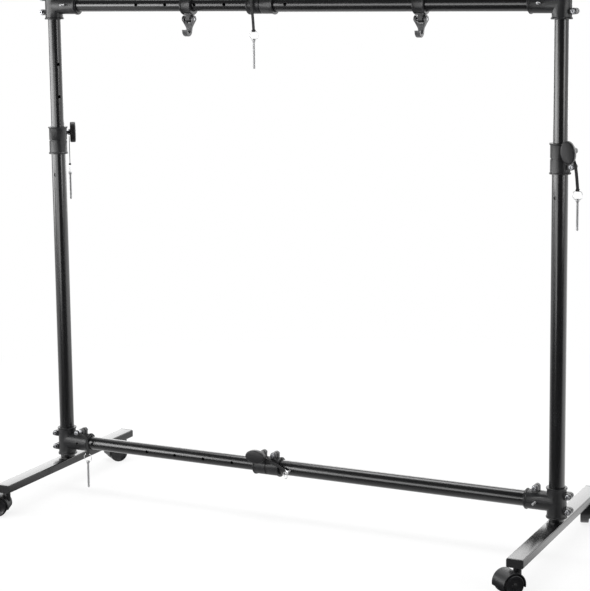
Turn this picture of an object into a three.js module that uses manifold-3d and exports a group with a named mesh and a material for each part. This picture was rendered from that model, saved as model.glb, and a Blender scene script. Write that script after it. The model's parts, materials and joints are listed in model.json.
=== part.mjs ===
// Gong stand: two feet on twin-wheel casters, telescoping uprights and crossbars, cast clamps, two hooks, locking pins.
// Millimetres. +Z is up, +X runs along the crossbars to the viewer's right, -Y is towards the viewer.
import * as THREE from "three";
import { mergeVertices } from "three/addons/utils/BufferGeometryUtils.js";
import Module from "manifold-3d";

const wasm = await Module();
wasm.setup();

// Frame of the stand
const UPRIGHT_SPACING = 1385;
const UPPER_BAR_HEIGHT = 1304.4;
const LOWER_BAR_HEIGHT = 127.4;
const BOX_SHIFT_X = 4.2; // these two bring the outline's middle over the origin
const BOX_SHIFT_Y = 16.8;

// Clearances
const GAP = 0.3; // between pieces that rest on each other
const BORE_GAP = 0.45; // round a tube in a clamp
const OVERRUN = 5; // how far a cutter runs past what it cuts

// Tubes
const OUTER_TUBE_RADIUS = 19.05;
const OUTER_TUBE_BORE = 17.55;
const INNER_TUBE_RADIUS = 17.2;
const INNER_TUBE_BORE = 15.7;
const TUBE_SIDES = 20;
const PIN_HOLE_RADIUS = 3.5;
const PIN_HOLE_SIDES = 8;
const HOLE_PITCH = 85.3;

// Uprights
const UPRIGHT_COLLAR_HEIGHT = 948;
const UPRIGHT_OVERLAP = 400; // length of the inner tube inside the outer one
const UPRIGHT_TOP_HOLE_DROP = 155.1; // of the uprights' highest pin hole below the upper bar
const UPRIGHT_HOLES = 4;
const LOWER_HOLE_DROP = 91; // of the lower tube's pin hole below the collar
const LEFT_HOLE_TURN = THREE.MathUtils.degToRad(58);
const RIGHT_HOLE_TURN = THREE.MathUtils.degToRad(107);

// Crossbars
const BAR_COLLAR_X = -75;
const BAR_OVERLAP = 275;
const BAR_END_FROM_UPRIGHT = 22.4;
const BAR_FIRST_HOLE_X = -430.7;
const BAR_HOLES = 6;
const BAR_SHORT_ROW_HOLES = 4;
const BAR_LOCK_HOLE_X = -4.2;
const LOCK_SLOT_LOW_X = -96;
const LOCK_SLOT_HIGH_X = 174;

// Feet
const FOOT_WIDTH = 40;
const FOOT_HEIGHT = 20.4;
const FOOT_LENGTH = 610;
const FOOT_UNDERSIDE = 62;
const FOOT_WALL = 2;
const FOOT_CORNER = 3;
const CAP_THICKNESS = 4;
const CAP_PLUG_DEPTH = 10;
const CAP_PLUG_GAP = 0.4;

// Casters
const WHEEL_RADIUS = 25;
const WHEEL_HALF_WIDTH = 25;
const WHEEL_INNER_FACE = 3.6;
const WHEEL_EDGE = 2;
const WHEEL_DISH = 1.4;
const WHEEL_HUB_RADIUS = 7;
const WHEEL_SIDES = 20;
const AXLE_RADIUS = 4;
const AXLE_SIDES = 12;
const HOOD_RADIUS = 30;
const HOOD_INNER_RADIUS = 27;
const HOOD_HALF_WIDTH = 24.6;
const HOOD_SKIRT_TURN = THREE.MathUtils.degToRad(12); // how far the hood's ends reach below the axle
const WEB_HALF_WIDTH = 3;
const WEB_EYE_RADIUS = 9;
const CASTER_TRAIL = 22;
const CASTER_BOSS_RADIUS = 9.5;
const CASTER_BOSS_BOTTOM = 36;
const CASTER_STEM_RADIUS = 4.8;
const CASTER_STEM_TOP = 75;
const CASTER_STEM_HOLE_RADIUS = 5.6;
const CASTER_FROM_FOOT_END = 20;

// Clamps: what the T-clamps, the collars and the hanger clamps share
const CLAMP_RADIUS = 23.5;
const FLANGE_RADIUS = 25.4;
const FLANGE_THICKNESS = 3.4;
const FLANGE_BEVEL = 1.6;
const EAR_DISTANCE = 31; // from the tube's axis to the bolt's
const EAR_ROOT = 14;
const EAR_RADIUS = 7.5;
const EAR_HALF_DEPTH = 12;
const EAR_SLOT_HALF_WIDTH = 1.5;
const BOLT_HOLE_RADIUS = 3.6;
const BOLT_RADIUS = 3;
const BOLT_SIDES = 8;
const ARC_SEGMENTS = 3;

// T-clamps
const T_HALF_HEIGHT = 37;
const T_EAR_HEIGHT = 18.5;
const T_ARM_LENGTH = 75;
const T_LIP_RADIUS = 22;
const T_LIP_LENGTH = 3;
const T_ARM_BORE_START = 22;
const T_ARM_SLOT_START = 31;
const T_ARM_BOLT = 51;
const T_PIN_HOLE = 46;

// Telescoping collars and their hand knobs
const COLLAR_HALF_LENGTH = 36;
const COLLAR_EAR_OFFSET = 18;
const GROOVE_RADIUS = 21.6;
const GROOVE_HALF_WIDTH = 1.3;
const SHOULDER_HALF_WIDTH = 2;
const KNOB_SHAFT_RADIUS = 4;
const KNOB_SHAFT_HOLE_RADIUS = 4.7;
const KNOB_SHAFT_BACK = 15.5;
const KNOB_SPACER_RADIUS = 6.4;
const KNOB_EYELET_FRONT = 27.4;
const KNOB_HUB_FRONT = 29.8;
const KNOB_HUB_RADIUS = 8.5;
const KNOB_FACE = 31.2;
const KNOB_THICKNESS = 14.8;
const KNOB_HALF_LENGTH = 28;
const KNOB_HALF_WIDTH = 17;
const KNOB_BEVEL = 2.4;
const KNOB_SIDES = 12;
const LEFT_COLLAR_TURN = THREE.MathUtils.degToRad(122.6);
const LEFT_KNOB_TURN = THREE.MathUtils.degToRad(-3);
const RIGHT_KNOB_TURN = THREE.MathUtils.degToRad(9);
const BAR_KNOB_TURN = THREE.MathUtils.degToRad(-3);

// Hangers
const LEFT_HANGER_X = -285;
const RIGHT_HANGER_X = 347;
const HANGER_HALF_WIDTH = 15;
const PIVOT_DROP = 37; // of the hook's pivot below the bar's axis
const LUG_HALF_WIDTH = 5.5;
const LUG_RADIUS = 8.5;
const YOKE_RADIUS = 9.5;
const YOKE_HALF_WIDTH = 16.5;
const YOKE_SLOT_HALF_WIDTH = 10.5;
const YOKE_SLOT_BEVEL_HALF_WIDTH = 6.5;
const YOKE_SLOT_TOP_DROP = 20;
const YOKE_SLOT_SIDE_DROP = 43;
const YOKE_SLOT_FLOOR_DROP = 46.2;
const HOOK_TOP_DROP = 24;
const HOOK_SHOULDER_DROP = 39;
const HOOK_WAIST_DROP = 49;
const HOOK_WAIST_HALF_WIDTH = 11.5;
const HOOK_NECK_DROP = 58;
const HOOK_NECK_HALF_WIDTH = 7.6;
const HOOK_TIP_HALF_WIDTH = 6.6;
const HOOK_BACK = 5; // of the shank behind the pivot's plane
const HOOK_SHANK_FRONT = 3;
const HOOK_CURL_DROP = 64.5;
const HOOK_CURL_RADIUS = 7.5;
const HOOK_THICKNESS = 8;
const HOOK_TIP_RISE = 1.5;
const PIVOT_PIN_RADIUS = 3.3;
const PIVOT_HOLE_RADIUS = 3.6;
const PIVOT_SPACER_RADIUS = 4.6;

// Locking pins, their rings and lanyards
const PIN_LENGTH = 74;
const PIN_RADIUS = 2.8;
const PIN_TIP = 1.6;
const PIN_HEAD_RADIUS = 4.5;
const PIN_HEAD_LENGTH = 5;
const PIN_HEAD_CONE = 2.5;
const PIN_EYE = 3.3; // of the ring's hole below the head's top
const PIN_SIDES = 10;
const PIN_SEAT = 24.3; // of a pushed-in pin's head from the bar's axis
const LOCK_PIN_HEAD_Y = -43;
const RING_RADIUS = 11.5;
const RING_WIRE = 0.9;
const RING_HOLE_WIRE = 1.45;
const RING_SIDES = 16;
const WIRE_SIDES = 6;
const STRAP_HALF_WIDTH = 3;
const STRAP_HALF_THICKNESS = 0.9;
const EYELET_RADIUS = 8;
const EYELET_HOLE_RADIUS = 4.4;
const EYELET_SIDES = 12;
const BARREL_RADIUS = 3;
const BARREL_HALF_LENGTH = 4.2;
const BARREL_SIDES = 8;
const STRAP_PLANE = 28.6; // of the lanyards from a tube's axis, between collar and knob
const LANYARD_BOLT_HEAD_RADIUS = 5.5;
const LANYARD_BOLT_HEAD_LENGTH = 4;
const LANYARD_BOLT_END = 34;

const halfSpacing = UPRIGHT_SPACING / 2;
const footTop = FOOT_UNDERSIDE + FOOT_HEIGHT;

// The four material looks
const blackTube = new THREE.MeshStandardMaterial({ color: "#1d1d1f", roughness: 0.32, metalness: 0.2 });
const castClamp = new THREE.MeshStandardMaterial({ color: "#3a3c3e", roughness: 0.5, metalness: 0.3 });
const blackPlastic = new THREE.MeshStandardMaterial({ color: "#17181a", roughness: 0.6, metalness: 0 });
const chromeSteel = new THREE.MeshStandardMaterial({ color: "#c9ccd0", roughness: 0.16, metalness: 1 });

// Solids and what is done to them

function solid(piece) {
  if (!piece.isBufferGeometry) return piece;
  piece.deleteAttribute("normal");
  piece.deleteAttribute("uv");
  const merged = mergeVertices(piece);
  const numbers = {
    numProp: 3,
    vertProperties: merged.attributes.position.array,
    triVerts: new Uint32Array(merged.index.array),
  };
  return new wasm.Manifold(new wasm.Mesh(numbers));
}

const join = (...pieces) => pieces.map(solid).reduce((all, next) => all.add(next));
const cut = (body, ...tools) => tools.map(solid).reduce((left, tool) => left.subtract(tool), solid(body));
const common = (...pieces) => pieces.map(solid).reduce((all, next) => all.intersect(next));

function geometryOf(body) {
  const data = body.getMesh();
  const geometry = new THREE.BufferGeometry();
  geometry.setAttribute("position", new THREE.BufferAttribute(Float32Array.from(data.vertProperties), data.numProp));
  geometry.setIndex(new THREE.BufferAttribute(Uint32Array.from(data.triVerts), 1));
  geometry.computeVertexNormals();
  return geometry;
}

const stand = new THREE.Group();

function addNode(name, piece, material, place) {
  const mesh = new THREE.Mesh(geometryOf(solid(piece)), material);
  mesh.name = name;
  mesh.applyMatrix4(place);
  stand.add(mesh);
}

// Places: a point and the directions that a piece's own X, Y and Z take there

const xAxis = new THREE.Vector3(1, 0, 0);
const yAxis = new THREE.Vector3(0, 1, 0);
const zAxis = new THREE.Vector3(0, 0, 1);
const point = (x, y, z) => new THREE.Vector3(x, y, z);

function place(origin, ownX = xAxis, ownZ = zAxis) {
  const ownY = new THREE.Vector3().crossVectors(ownZ, ownX);
  const matrix = new THREE.Matrix4().makeBasis(ownX, ownY, ownZ);
  return matrix.setPosition(origin.x + BOX_SHIFT_X, origin.y + BOX_SHIFT_Y, origin.z);
}

const back = (direction) => direction.clone().negate();
const turnedAboutZ = (direction, angle) => direction.clone().applyAxisAngle(zAxis, angle);

// Plain shapes. Each lies about its own Z axis unless its name says otherwise

function turned(profile, sides) {
  const points = profile.map(([radius, height]) => new THREE.Vector2(radius, height));
  return new THREE.LatheGeometry(points, sides).rotateX(Math.PI / 2);
}

function cylinder(radius, low, high, sides) {
  const profile = [
    [0, low],
    [radius, low],
    [radius, high],
    [0, high],
  ];
  return turned(profile, sides);
}

const alongX = (geometry) => geometry.rotateY(Math.PI / 2);
const alongY = (geometry) => geometry.rotateX(-Math.PI / 2);

function block(lowX, highX, lowY, highY, lowZ, highZ) {
  const box = new THREE.BoxGeometry(highX - lowX, highY - lowY, highZ - lowZ);
  return box.translate((lowX + highX) / 2, (lowY + highY) / 2, (lowZ + highZ) / 2);
}

const extruded = (shape, depth) =>
  new THREE.ExtrudeGeometry(shape, { depth, bevelEnabled: false, curveSegments: ARC_SEGMENTS });

// A plate whose outline is seen from the front: outline X and Y become X and Z, and it is as deep as it is told in Y
function frontPlate(shape, halfDepth) {
  return extruded(shape, halfDepth + halfDepth).translate(0, 0, -halfDepth).rotateX(Math.PI / 2);
}

// A plate whose outline is seen from the side: outline X and Y become Y and Z
function sidePlate(shape, halfDepth) {
  const basis = new THREE.Matrix4().makeBasis(yAxis, zAxis, xAxis);
  return extruded(shape, halfDepth + halfDepth).translate(0, 0, -halfDepth).applyMatrix4(basis);
}

function outline(points) {
  return new THREE.Shape(points.map(([x, y]) => new THREE.Vector2(x, y)));
}

// A tongue that starts at root and ends in a half circle about (reach, 0)
function tongue(root, reach, radius) {
  const shape = new THREE.Shape();
  shape.moveTo(root, -radius);
  shape.lineTo(reach, -radius);
  shape.absarc(reach, 0, radius, -Math.PI / 2, Math.PI / 2, false);
  shape.lineTo(root, radius);
  return shape;
}

function roundedRectangle(width, height, corner) {
  const x = width / 2 - corner;
  const y = height / 2 - corner;
  const shape = new THREE.Shape();
  shape.absarc(x, -y, corner, -Math.PI / 2, 0, false);
  shape.absarc(x, y, corner, 0, Math.PI / 2, false);
  shape.absarc(-x, y, corner, Math.PI / 2, Math.PI, false);
  shape.absarc(-x, -y, corner, Math.PI, Math.PI * 1.5, false);
  return shape;
}

// Tubes

function pinHole(height, turn, tubeRadius) {
  const reach = tubeRadius + OVERRUN;
  const drill = alongY(cylinder(PIN_HOLE_RADIUS, -reach, reach, PIN_HOLE_SIDES));
  return drill.rotateZ(turn).translate(0, 0, height);
}

function tube(radius, bore, low, high, holes = []) {
  const wall = [
    [bore, low],
    [radius, low],
    [radius, high],
    [bore, high],
    [bore, low],
  ];
  const drills = holes.map(([height, turn]) => pinHole(height, turn, radius));
  return cut(turned(wall, TUBE_SIDES), ...drills);
}

const holeRow = (first, count, step, turn) =>
  Array.from({ length: count }, (_, index) => [first + index * step, turn]);

function lowerUprightTube() {
  const low = footTop + GAP;
  const high = UPRIGHT_COLLAR_HEIGHT - GAP;
  return tube(OUTER_TUBE_RADIUS, OUTER_TUBE_BORE, low, high, [[UPRIGHT_COLLAR_HEIGHT - LOWER_HOLE_DROP, 0]]);
}

function upperUprightTube(turn) {
  const low = UPRIGHT_COLLAR_HEIGHT - UPRIGHT_OVERLAP;
  const high = UPPER_BAR_HEIGHT + T_HALF_HEIGHT;
  const holes = holeRow(UPPER_BAR_HEIGHT - UPRIGHT_TOP_HOLE_DROP, UPRIGHT_HOLES, -HOLE_PITCH, turn);
  return tube(INNER_TUBE_RADIUS, INNER_TUBE_BORE, low, high, holes);
}

// The bars are made along X, with the stand's middle at zero

function innerBar(holes) {
  const low = BAR_END_FROM_UPRIGHT - halfSpacing;
  const high = BAR_COLLAR_X + BAR_OVERLAP;
  const clampHole = [T_PIN_HOLE - halfSpacing, 0];
  return tube(INNER_TUBE_RADIUS, INNER_TUBE_BORE, low, high, [clampHole, ...holes]);
}

function upperInnerBar() {
  return innerBar(holeRow(BAR_FIRST_HOLE_X, BAR_HOLES, HOLE_PITCH, 0));
}

// The hidden part of the lower inner bar has a slot, in which the pushed-in pin runs when the width is changed
function lowerInnerBar() {
  const reach = INNER_TUBE_RADIUS + OVERRUN;
  const slotLow = LOCK_SLOT_LOW_X + PIN_HOLE_RADIUS;
  const slotHigh = LOCK_SLOT_HIGH_X - PIN_HOLE_RADIUS;
  const slot = join(
    pinHole(slotLow, 0, INNER_TUBE_RADIUS),
    block(-PIN_HOLE_RADIUS, PIN_HOLE_RADIUS, -reach, reach, slotLow, slotHigh),
    pinHole(slotHigh, 0, INNER_TUBE_RADIUS),
  );
  return cut(innerBar(holeRow(BAR_FIRST_HOLE_X, BAR_SHORT_ROW_HOLES, HOLE_PITCH, 0)), slot);
}

function outerBar() {
  const low = BAR_COLLAR_X + GAP;
  const high = halfSpacing - BAR_END_FROM_UPRIGHT;
  const holes = [
    [BAR_LOCK_HOLE_X, 0],
    [halfSpacing - T_PIN_HOLE, 0],
  ];
  return tube(OUTER_TUBE_RADIUS, OUTER_TUBE_BORE, low, high, holes);
}

// Clamp details. Every clamp's ears point to its own +X, with the bolt along Y

function ear(height) {
  return frontPlate(tongue(EAR_ROOT, EAR_DISTANCE, EAR_RADIUS), EAR_HALF_DEPTH).translate(0, 0, height);
}

function boltHole(height, radius) {
  const reach = EAR_HALF_DEPTH + OVERRUN;
  return alongY(cylinder(radius, -reach, reach, BOLT_SIDES)).translate(EAR_DISTANCE, 0, height);
}

function earSlot(low, high) {
  const reach = EAR_DISTANCE + EAR_RADIUS + OVERRUN;
  return block(EAR_ROOT, reach, -EAR_SLOT_HALF_WIDTH, EAR_SLOT_HALF_WIDTH, low, high);
}

// Half the outline of a sleeve with a flange at its end, from its middle to the end
function flangedHalf(halfLength) {
  const flangeStart = halfLength - FLANGE_THICKNESS;
  return [
    [CLAMP_RADIUS, flangeStart - FLANGE_BEVEL],
    [FLANGE_RADIUS, flangeStart],
    [FLANGE_RADIUS, halfLength],
    [0, halfLength],
  ];
}

const mirroredDown = (profile) => profile.map(([radius, height]) => [radius, -height]).reverse();

function flangedSleeve(halfLength, middle = []) {
  const upper = flangedHalf(halfLength);
  return turned([...mirroredDown(upper), ...middle, ...upper], TUBE_SIDES);
}

// T-clamps: the upright runs along Z, the bar leaves along -X and the ears of the upright's sleeve point to +X

function tClampArm() {
  const flangeStart = T_ARM_LENGTH - FLANGE_THICKNESS;
  const profile = [
    [0, 0],
    [CLAMP_RADIUS, 0],
    [CLAMP_RADIUS, flangeStart - FLANGE_BEVEL],
    [FLANGE_RADIUS, flangeStart],
    [FLANGE_RADIUS, T_ARM_LENGTH],
    [T_LIP_RADIUS, T_ARM_LENGTH],
    [T_LIP_RADIUS, T_ARM_LENGTH + T_LIP_LENGTH],
    [0, T_ARM_LENGTH + T_LIP_LENGTH],
  ];
  const upwardEar = solid(ear(0).rotateY(-Math.PI / 2).translate(T_ARM_BOLT, 0, 0));
  return join(alongX(turned(profile, TUBE_SIDES)), upwardEar);
}

function tClamp(uprightRadius, barRadius) {
  const armEnd = T_ARM_LENGTH + T_LIP_LENGTH + OVERRUN;
  const tall = T_HALF_HEIGHT + OVERRUN;
  const depth = EAR_HALF_DEPTH + OVERRUN;
  const body = join(flangedSleeve(T_HALF_HEIGHT), ear(T_EAR_HEIGHT).rotateZ(Math.PI));
  const full = join(body, ear(-T_EAR_HEIGHT).rotateZ(Math.PI), tClampArm());
  return cut(
    full,
    cylinder(uprightRadius + BORE_GAP, -tall, tall, TUBE_SIDES),
    alongX(cylinder(barRadius + BORE_GAP, T_ARM_BORE_START, armEnd, TUBE_SIDES)),
    earSlot(-tall, tall).rotateZ(Math.PI),
    block(T_ARM_SLOT_START, armEnd, -EAR_SLOT_HALF_WIDTH, EAR_SLOT_HALF_WIDTH, EAR_ROOT, EAR_DISTANCE + tall),
    boltHole(T_EAR_HEIGHT, BOLT_HOLE_RADIUS).rotateZ(Math.PI),
    boltHole(-T_EAR_HEIGHT, BOLT_HOLE_RADIUS).rotateZ(Math.PI),
    alongY(cylinder(BOLT_HOLE_RADIUS, -depth, depth, BOLT_SIDES)).translate(T_ARM_BOLT, 0, EAR_DISTANCE),
    pinHole(0, 0, CLAMP_RADIUS).translate(T_PIN_HOLE, 0, 0),
  );
}

// Collars: the inner tube leaves along +Z, the ears point to +X and the knob sits on the -Y side

function collar() {
  const long = COLLAR_HALF_LENGTH + OVERRUN;
  const groove = [
    [CLAMP_RADIUS, -GROOVE_HALF_WIDTH],
    [GROOVE_RADIUS, -GROOVE_HALF_WIDTH],
    [GROOVE_RADIUS, GROOVE_HALF_WIDTH],
    [CLAMP_RADIUS, GROOVE_HALF_WIDTH],
  ];
  const body = join(
    flangedSleeve(COLLAR_HALF_LENGTH, groove),
    ear(COLLAR_EAR_OFFSET),
    ear(-COLLAR_EAR_OFFSET),
  );
  return cut(
    body,
    cylinder(INNER_TUBE_RADIUS + BORE_GAP, -long, long, TUBE_SIDES),
    cylinder(OUTER_TUBE_RADIUS + BORE_GAP, -long, 0, TUBE_SIDES),
    earSlot(SHOULDER_HALF_WIDTH, long),
    earSlot(-long, -SHOULDER_HALF_WIDTH),
    boltHole(COLLAR_EAR_OFFSET, KNOB_SHAFT_HOLE_RADIUS),
    boltHole(-COLLAR_EAR_OFFSET, BOLT_HOLE_RADIUS),
  );
}

// The hand knob: an oval grip on a shaft that runs through the ears, in the collar's own frame
function handKnob(turn) {
  const shaft = [
    [0, -KNOB_SHAFT_BACK],
    [KNOB_SHAFT_RADIUS, -KNOB_SHAFT_BACK],
    [KNOB_SHAFT_RADIUS, EAR_HALF_DEPTH + GAP],
    [KNOB_SPACER_RADIUS, EAR_HALF_DEPTH + GAP],
    [KNOB_SPACER_RADIUS, KNOB_EYELET_FRONT],
    [KNOB_SHAFT_RADIUS, KNOB_EYELET_FRONT],
    [KNOB_SHAFT_RADIUS, KNOB_HUB_FRONT],
    [KNOB_HUB_RADIUS, KNOB_HUB_FRONT],
    [KNOB_HUB_RADIUS, KNOB_FACE + KNOB_BEVEL],
    [0, KNOB_FACE + KNOB_BEVEL],
  ];
  const grip = new THREE.Shape();
  grip.absellipse(0, 0, KNOB_HALF_WIDTH - KNOB_BEVEL, KNOB_HALF_LENGTH - KNOB_BEVEL, 0, Math.PI * 2, false, 0);
  const bevelled = new THREE.ExtrudeGeometry(grip, {
    depth: KNOB_THICKNESS - KNOB_BEVEL - KNOB_BEVEL,
    bevelThickness: KNOB_BEVEL,
    bevelSize: KNOB_BEVEL,
    bevelSegments: 2,
    curveSegments: KNOB_SIDES,
  });
  bevelled.translate(0, 0, KNOB_FACE + KNOB_BEVEL).rotateZ(turn);
  const whole = join(turned(shaft, AXLE_SIDES), bevelled);
  return geometryOf(whole).rotateX(Math.PI / 2).translate(EAR_DISTANCE, 0, COLLAR_EAR_OFFSET);
}

// Hangers: the bar runs along X, the clamp's ears point up and the hook hangs below

function hangerClamp(barRadius) {
  const wide = HANGER_HALF_WIDTH + OVERRUN;
  const lug = sidePlate(tongue(EAR_ROOT, PIVOT_DROP, LUG_RADIUS), LUG_HALF_WIDTH).rotateX(-Math.PI / 2);
  const upwardEar = ear(0).rotateY(-Math.PI / 2);
  const reach = EAR_DISTANCE + EAR_RADIUS + OVERRUN;
  return cut(
    join(alongX(flangedSleeve(HANGER_HALF_WIDTH)), upwardEar, lug),
    alongX(cylinder(barRadius + BORE_GAP, -wide, wide, TUBE_SIDES)),
    block(-wide, wide, -EAR_SLOT_HALF_WIDTH, EAR_SLOT_HALF_WIDTH, EAR_ROOT, reach),
    boltHole(0, BOLT_HOLE_RADIUS).rotateY(-Math.PI / 2),
    alongX(cylinder(PIVOT_HOLE_RADIUS, -wide, wide, BOLT_SIDES)).translate(0, 0, -PIVOT_DROP),
  );
}

// The hook seen from the side: round the pivot, down the shank and forwards into the curl
function hookSideOutline() {
  const curlMiddle = -(HOOK_SHANK_FRONT + HOOK_CURL_RADIUS);
  const outerRadius = HOOK_CURL_RADIUS + HOOK_THICKNESS;
  const shape = new THREE.Shape();
  shape.absarc(0, -PIVOT_DROP, YOKE_RADIUS, 0, Math.PI, false);
  shape.lineTo(-HOOK_SHANK_FRONT, -HOOK_NECK_DROP);
  shape.lineTo(-HOOK_SHANK_FRONT, -HOOK_CURL_DROP);
  shape.absarc(curlMiddle, -HOOK_CURL_DROP, HOOK_CURL_RADIUS, 0, Math.PI, true);
  shape.lineTo(curlMiddle - HOOK_CURL_RADIUS, HOOK_TIP_RISE - HOOK_CURL_DROP);
  shape.lineTo(curlMiddle - outerRadius, HOOK_TIP_RISE - HOOK_CURL_DROP);
  shape.absarc(curlMiddle, -HOOK_CURL_DROP, outerRadius, Math.PI, Math.PI * 2, false);
  shape.lineTo(HOOK_BACK, -HOOK_NECK_DROP);
  return shape;
}

// The hook seen from the front: a wide yoke that narrows to the shank
function hookFrontOutline() {
  const right = [
    [HOOK_TIP_HALF_WIDTH, -HOOK_CURL_DROP - HOOK_CURL_RADIUS - HOOK_THICKNESS - OVERRUN],
    [HOOK_TIP_HALF_WIDTH, -HOOK_CURL_DROP],
    [HOOK_NECK_HALF_WIDTH, -HOOK_NECK_DROP],
    [HOOK_WAIST_HALF_WIDTH, -HOOK_WAIST_DROP],
    [YOKE_HALF_WIDTH, -HOOK_SHOULDER_DROP],
    [YOKE_HALF_WIDTH, -HOOK_TOP_DROP],
  ];
  const left = right.map(([x, z]) => [-x, z]).reverse();
  return outline([...right, ...left]);
}

function yokeSlotOutline() {
  return outline([
    [-YOKE_SLOT_BEVEL_HALF_WIDTH, -YOKE_SLOT_FLOOR_DROP],
    [YOKE_SLOT_BEVEL_HALF_WIDTH, -YOKE_SLOT_FLOOR_DROP],
    [YOKE_SLOT_HALF_WIDTH, -YOKE_SLOT_SIDE_DROP],
    [YOKE_SLOT_HALF_WIDTH, -YOKE_SLOT_TOP_DROP],
    [-YOKE_SLOT_HALF_WIDTH, -YOKE_SLOT_TOP_DROP],
    [-YOKE_SLOT_HALF_WIDTH, -YOKE_SLOT_SIDE_DROP],
  ]);
}

function hangerHook() {
  const deep = HOOK_SHANK_FRONT + HOOK_CURL_RADIUS + HOOK_CURL_RADIUS + HOOK_THICKNESS + OVERRUN;
  const wide = YOKE_HALF_WIDTH + OVERRUN;
  return cut(
    common(sidePlate(hookSideOutline(), YOKE_HALF_WIDTH), frontPlate(hookFrontOutline(), deep)),
    frontPlate(yokeSlotOutline(), deep),
    alongX(cylinder(PIVOT_HOLE_RADIUS, -wide, wide, BOLT_SIDES)).translate(0, 0, -PIVOT_DROP),
  );
}

// The pin that the hook swings on ends flush with the yoke and has a spacer on one side of the lug
function pivotPin() {
  const pinEnd = YOKE_HALF_WIDTH - GAP;
  const profile = [
    [0, -pinEnd],
    [PIVOT_PIN_RADIUS, -pinEnd],
    [PIVOT_PIN_RADIUS, GAP - YOKE_SLOT_HALF_WIDTH],
    [PIVOT_SPACER_RADIUS, GAP - YOKE_SLOT_HALF_WIDTH],
    [PIVOT_SPACER_RADIUS, -LUG_HALF_WIDTH - GAP],
    [PIVOT_PIN_RADIUS, -LUG_HALF_WIDTH - GAP],
    [PIVOT_PIN_RADIUS, pinEnd],
    [0, pinEnd],
  ];
  return alongX(turned(profile, BOLT_SIDES)).translate(0, 0, -PIVOT_DROP);
}

// Feet: the tube runs along Y

function endOn(shape, low, high) {
  return extruded(shape, high - low).rotateX(Math.PI / 2).translate(0, high, 0);
}

function foot() {
  const end = FOOT_LENGTH / 2 - CAP_THICKNESS - GAP;
  const stemAt = FOOT_LENGTH / 2 - CASTER_FROM_FOOT_END;
  const bore = endOn(
    roundedRectangle(FOOT_WIDTH - FOOT_WALL - FOOT_WALL, FOOT_HEIGHT - FOOT_WALL - FOOT_WALL, FOOT_CORNER - FOOT_WALL),
    -end - OVERRUN,
    end + OVERRUN,
  );
  const stemHoles = [-stemAt, stemAt].map((y) =>
    cylinder(CASTER_STEM_HOLE_RADIUS, -FOOT_HEIGHT, 0, AXLE_SIDES).translate(0, y, 0),
  );
  return cut(endOn(roundedRectangle(FOOT_WIDTH, FOOT_HEIGHT, FOOT_CORNER), -end, end), bore, ...stemHoles);
}

// An end cap: a plate over the tube's end and a plug inside it, made for the end at +Y
function footCap() {
  const outer = FOOT_LENGTH / 2;
  const inner = outer - CAP_THICKNESS;
  const shrink = FOOT_WALL + CAP_PLUG_GAP;
  const plug = block(
    shrink - FOOT_WIDTH / 2,
    FOOT_WIDTH / 2 - shrink,
    inner - CAP_PLUG_DEPTH,
    inner + GAP,
    shrink - FOOT_HEIGHT / 2,
    FOOT_HEIGHT / 2 - shrink,
  );
  return join(endOn(roundedRectangle(FOOT_WIDTH, FOOT_HEIGHT, FOOT_CORNER), inner, outer), plug);
}

// Casters: the swivel axis is Z and the wheels trail along +X

function hoodSector(radius) {
  const shape = new THREE.Shape();
  shape.absarc(0, 0, radius, -HOOD_SKIRT_TURN, Math.PI + HOOD_SKIRT_TURN, false);
  return shape;
}

function hoodPlate(radius, halfWidth) {
  const options = { depth: halfWidth + halfWidth, bevelEnabled: false, curveSegments: WHEEL_SIDES / 2 };
  const plate = new THREE.ExtrudeGeometry(hoodSector(radius), options);
  return plate.translate(0, 0, -halfWidth).rotateX(Math.PI / 2).translate(CASTER_TRAIL, 0, WHEEL_RADIUS);
}

function acrossWheel(radius, halfWidth, sides) {
  return alongY(cylinder(radius, -halfWidth, halfWidth, sides)).translate(CASTER_TRAIL, 0, WHEEL_RADIUS);
}

function casterBody() {
  const bossTop = FOOT_UNDERSIDE - GAP;
  const over = HOOD_HALF_WIDTH + OVERRUN;
  const shell = cut(
    join(
      hoodPlate(HOOD_RADIUS, HOOD_HALF_WIDTH),
      cylinder(CASTER_BOSS_RADIUS, CASTER_BOSS_BOTTOM, bossTop, AXLE_SIDES),
      cylinder(CASTER_STEM_RADIUS, CASTER_BOSS_BOTTOM, CASTER_STEM_TOP, AXLE_SIDES),
    ),
    acrossWheel(HOOD_INNER_RADIUS, over, WHEEL_SIDES),
  );
  return cut(
    join(
      shell,
      hoodPlate((HOOD_RADIUS + HOOD_INNER_RADIUS) / 2, WEB_HALF_WIDTH),
      acrossWheel(WEB_EYE_RADIUS, WEB_HALF_WIDTH, AXLE_SIDES),
    ),
    acrossWheel(AXLE_RADIUS + BORE_GAP, over, AXLE_SIDES),
  );
}

// Both wheels of a caster with their axle, the outer faces slightly dished
function wheelPair() {
  const dishFace = WHEEL_HALF_WIDTH - WHEEL_DISH;
  const half = [
    [AXLE_RADIUS, WHEEL_INNER_FACE],
    [WHEEL_RADIUS, WHEEL_INNER_FACE],
    [WHEEL_RADIUS, WHEEL_HALF_WIDTH - WHEEL_EDGE],
    [WHEEL_RADIUS - WHEEL_EDGE, WHEEL_HALF_WIDTH],
    [WHEEL_HUB_RADIUS, dishFace],
    [0, dishFace],
  ];
  const whole = turned([...mirroredDown(half), ...half], WHEEL_SIDES);
  return alongY(whole).translate(CASTER_TRAIL, 0, WHEEL_RADIUS);
}

// Pins hang or lie along their own -Z, from the head's top at zero. The ring's hole is cut where the ring passes

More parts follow.
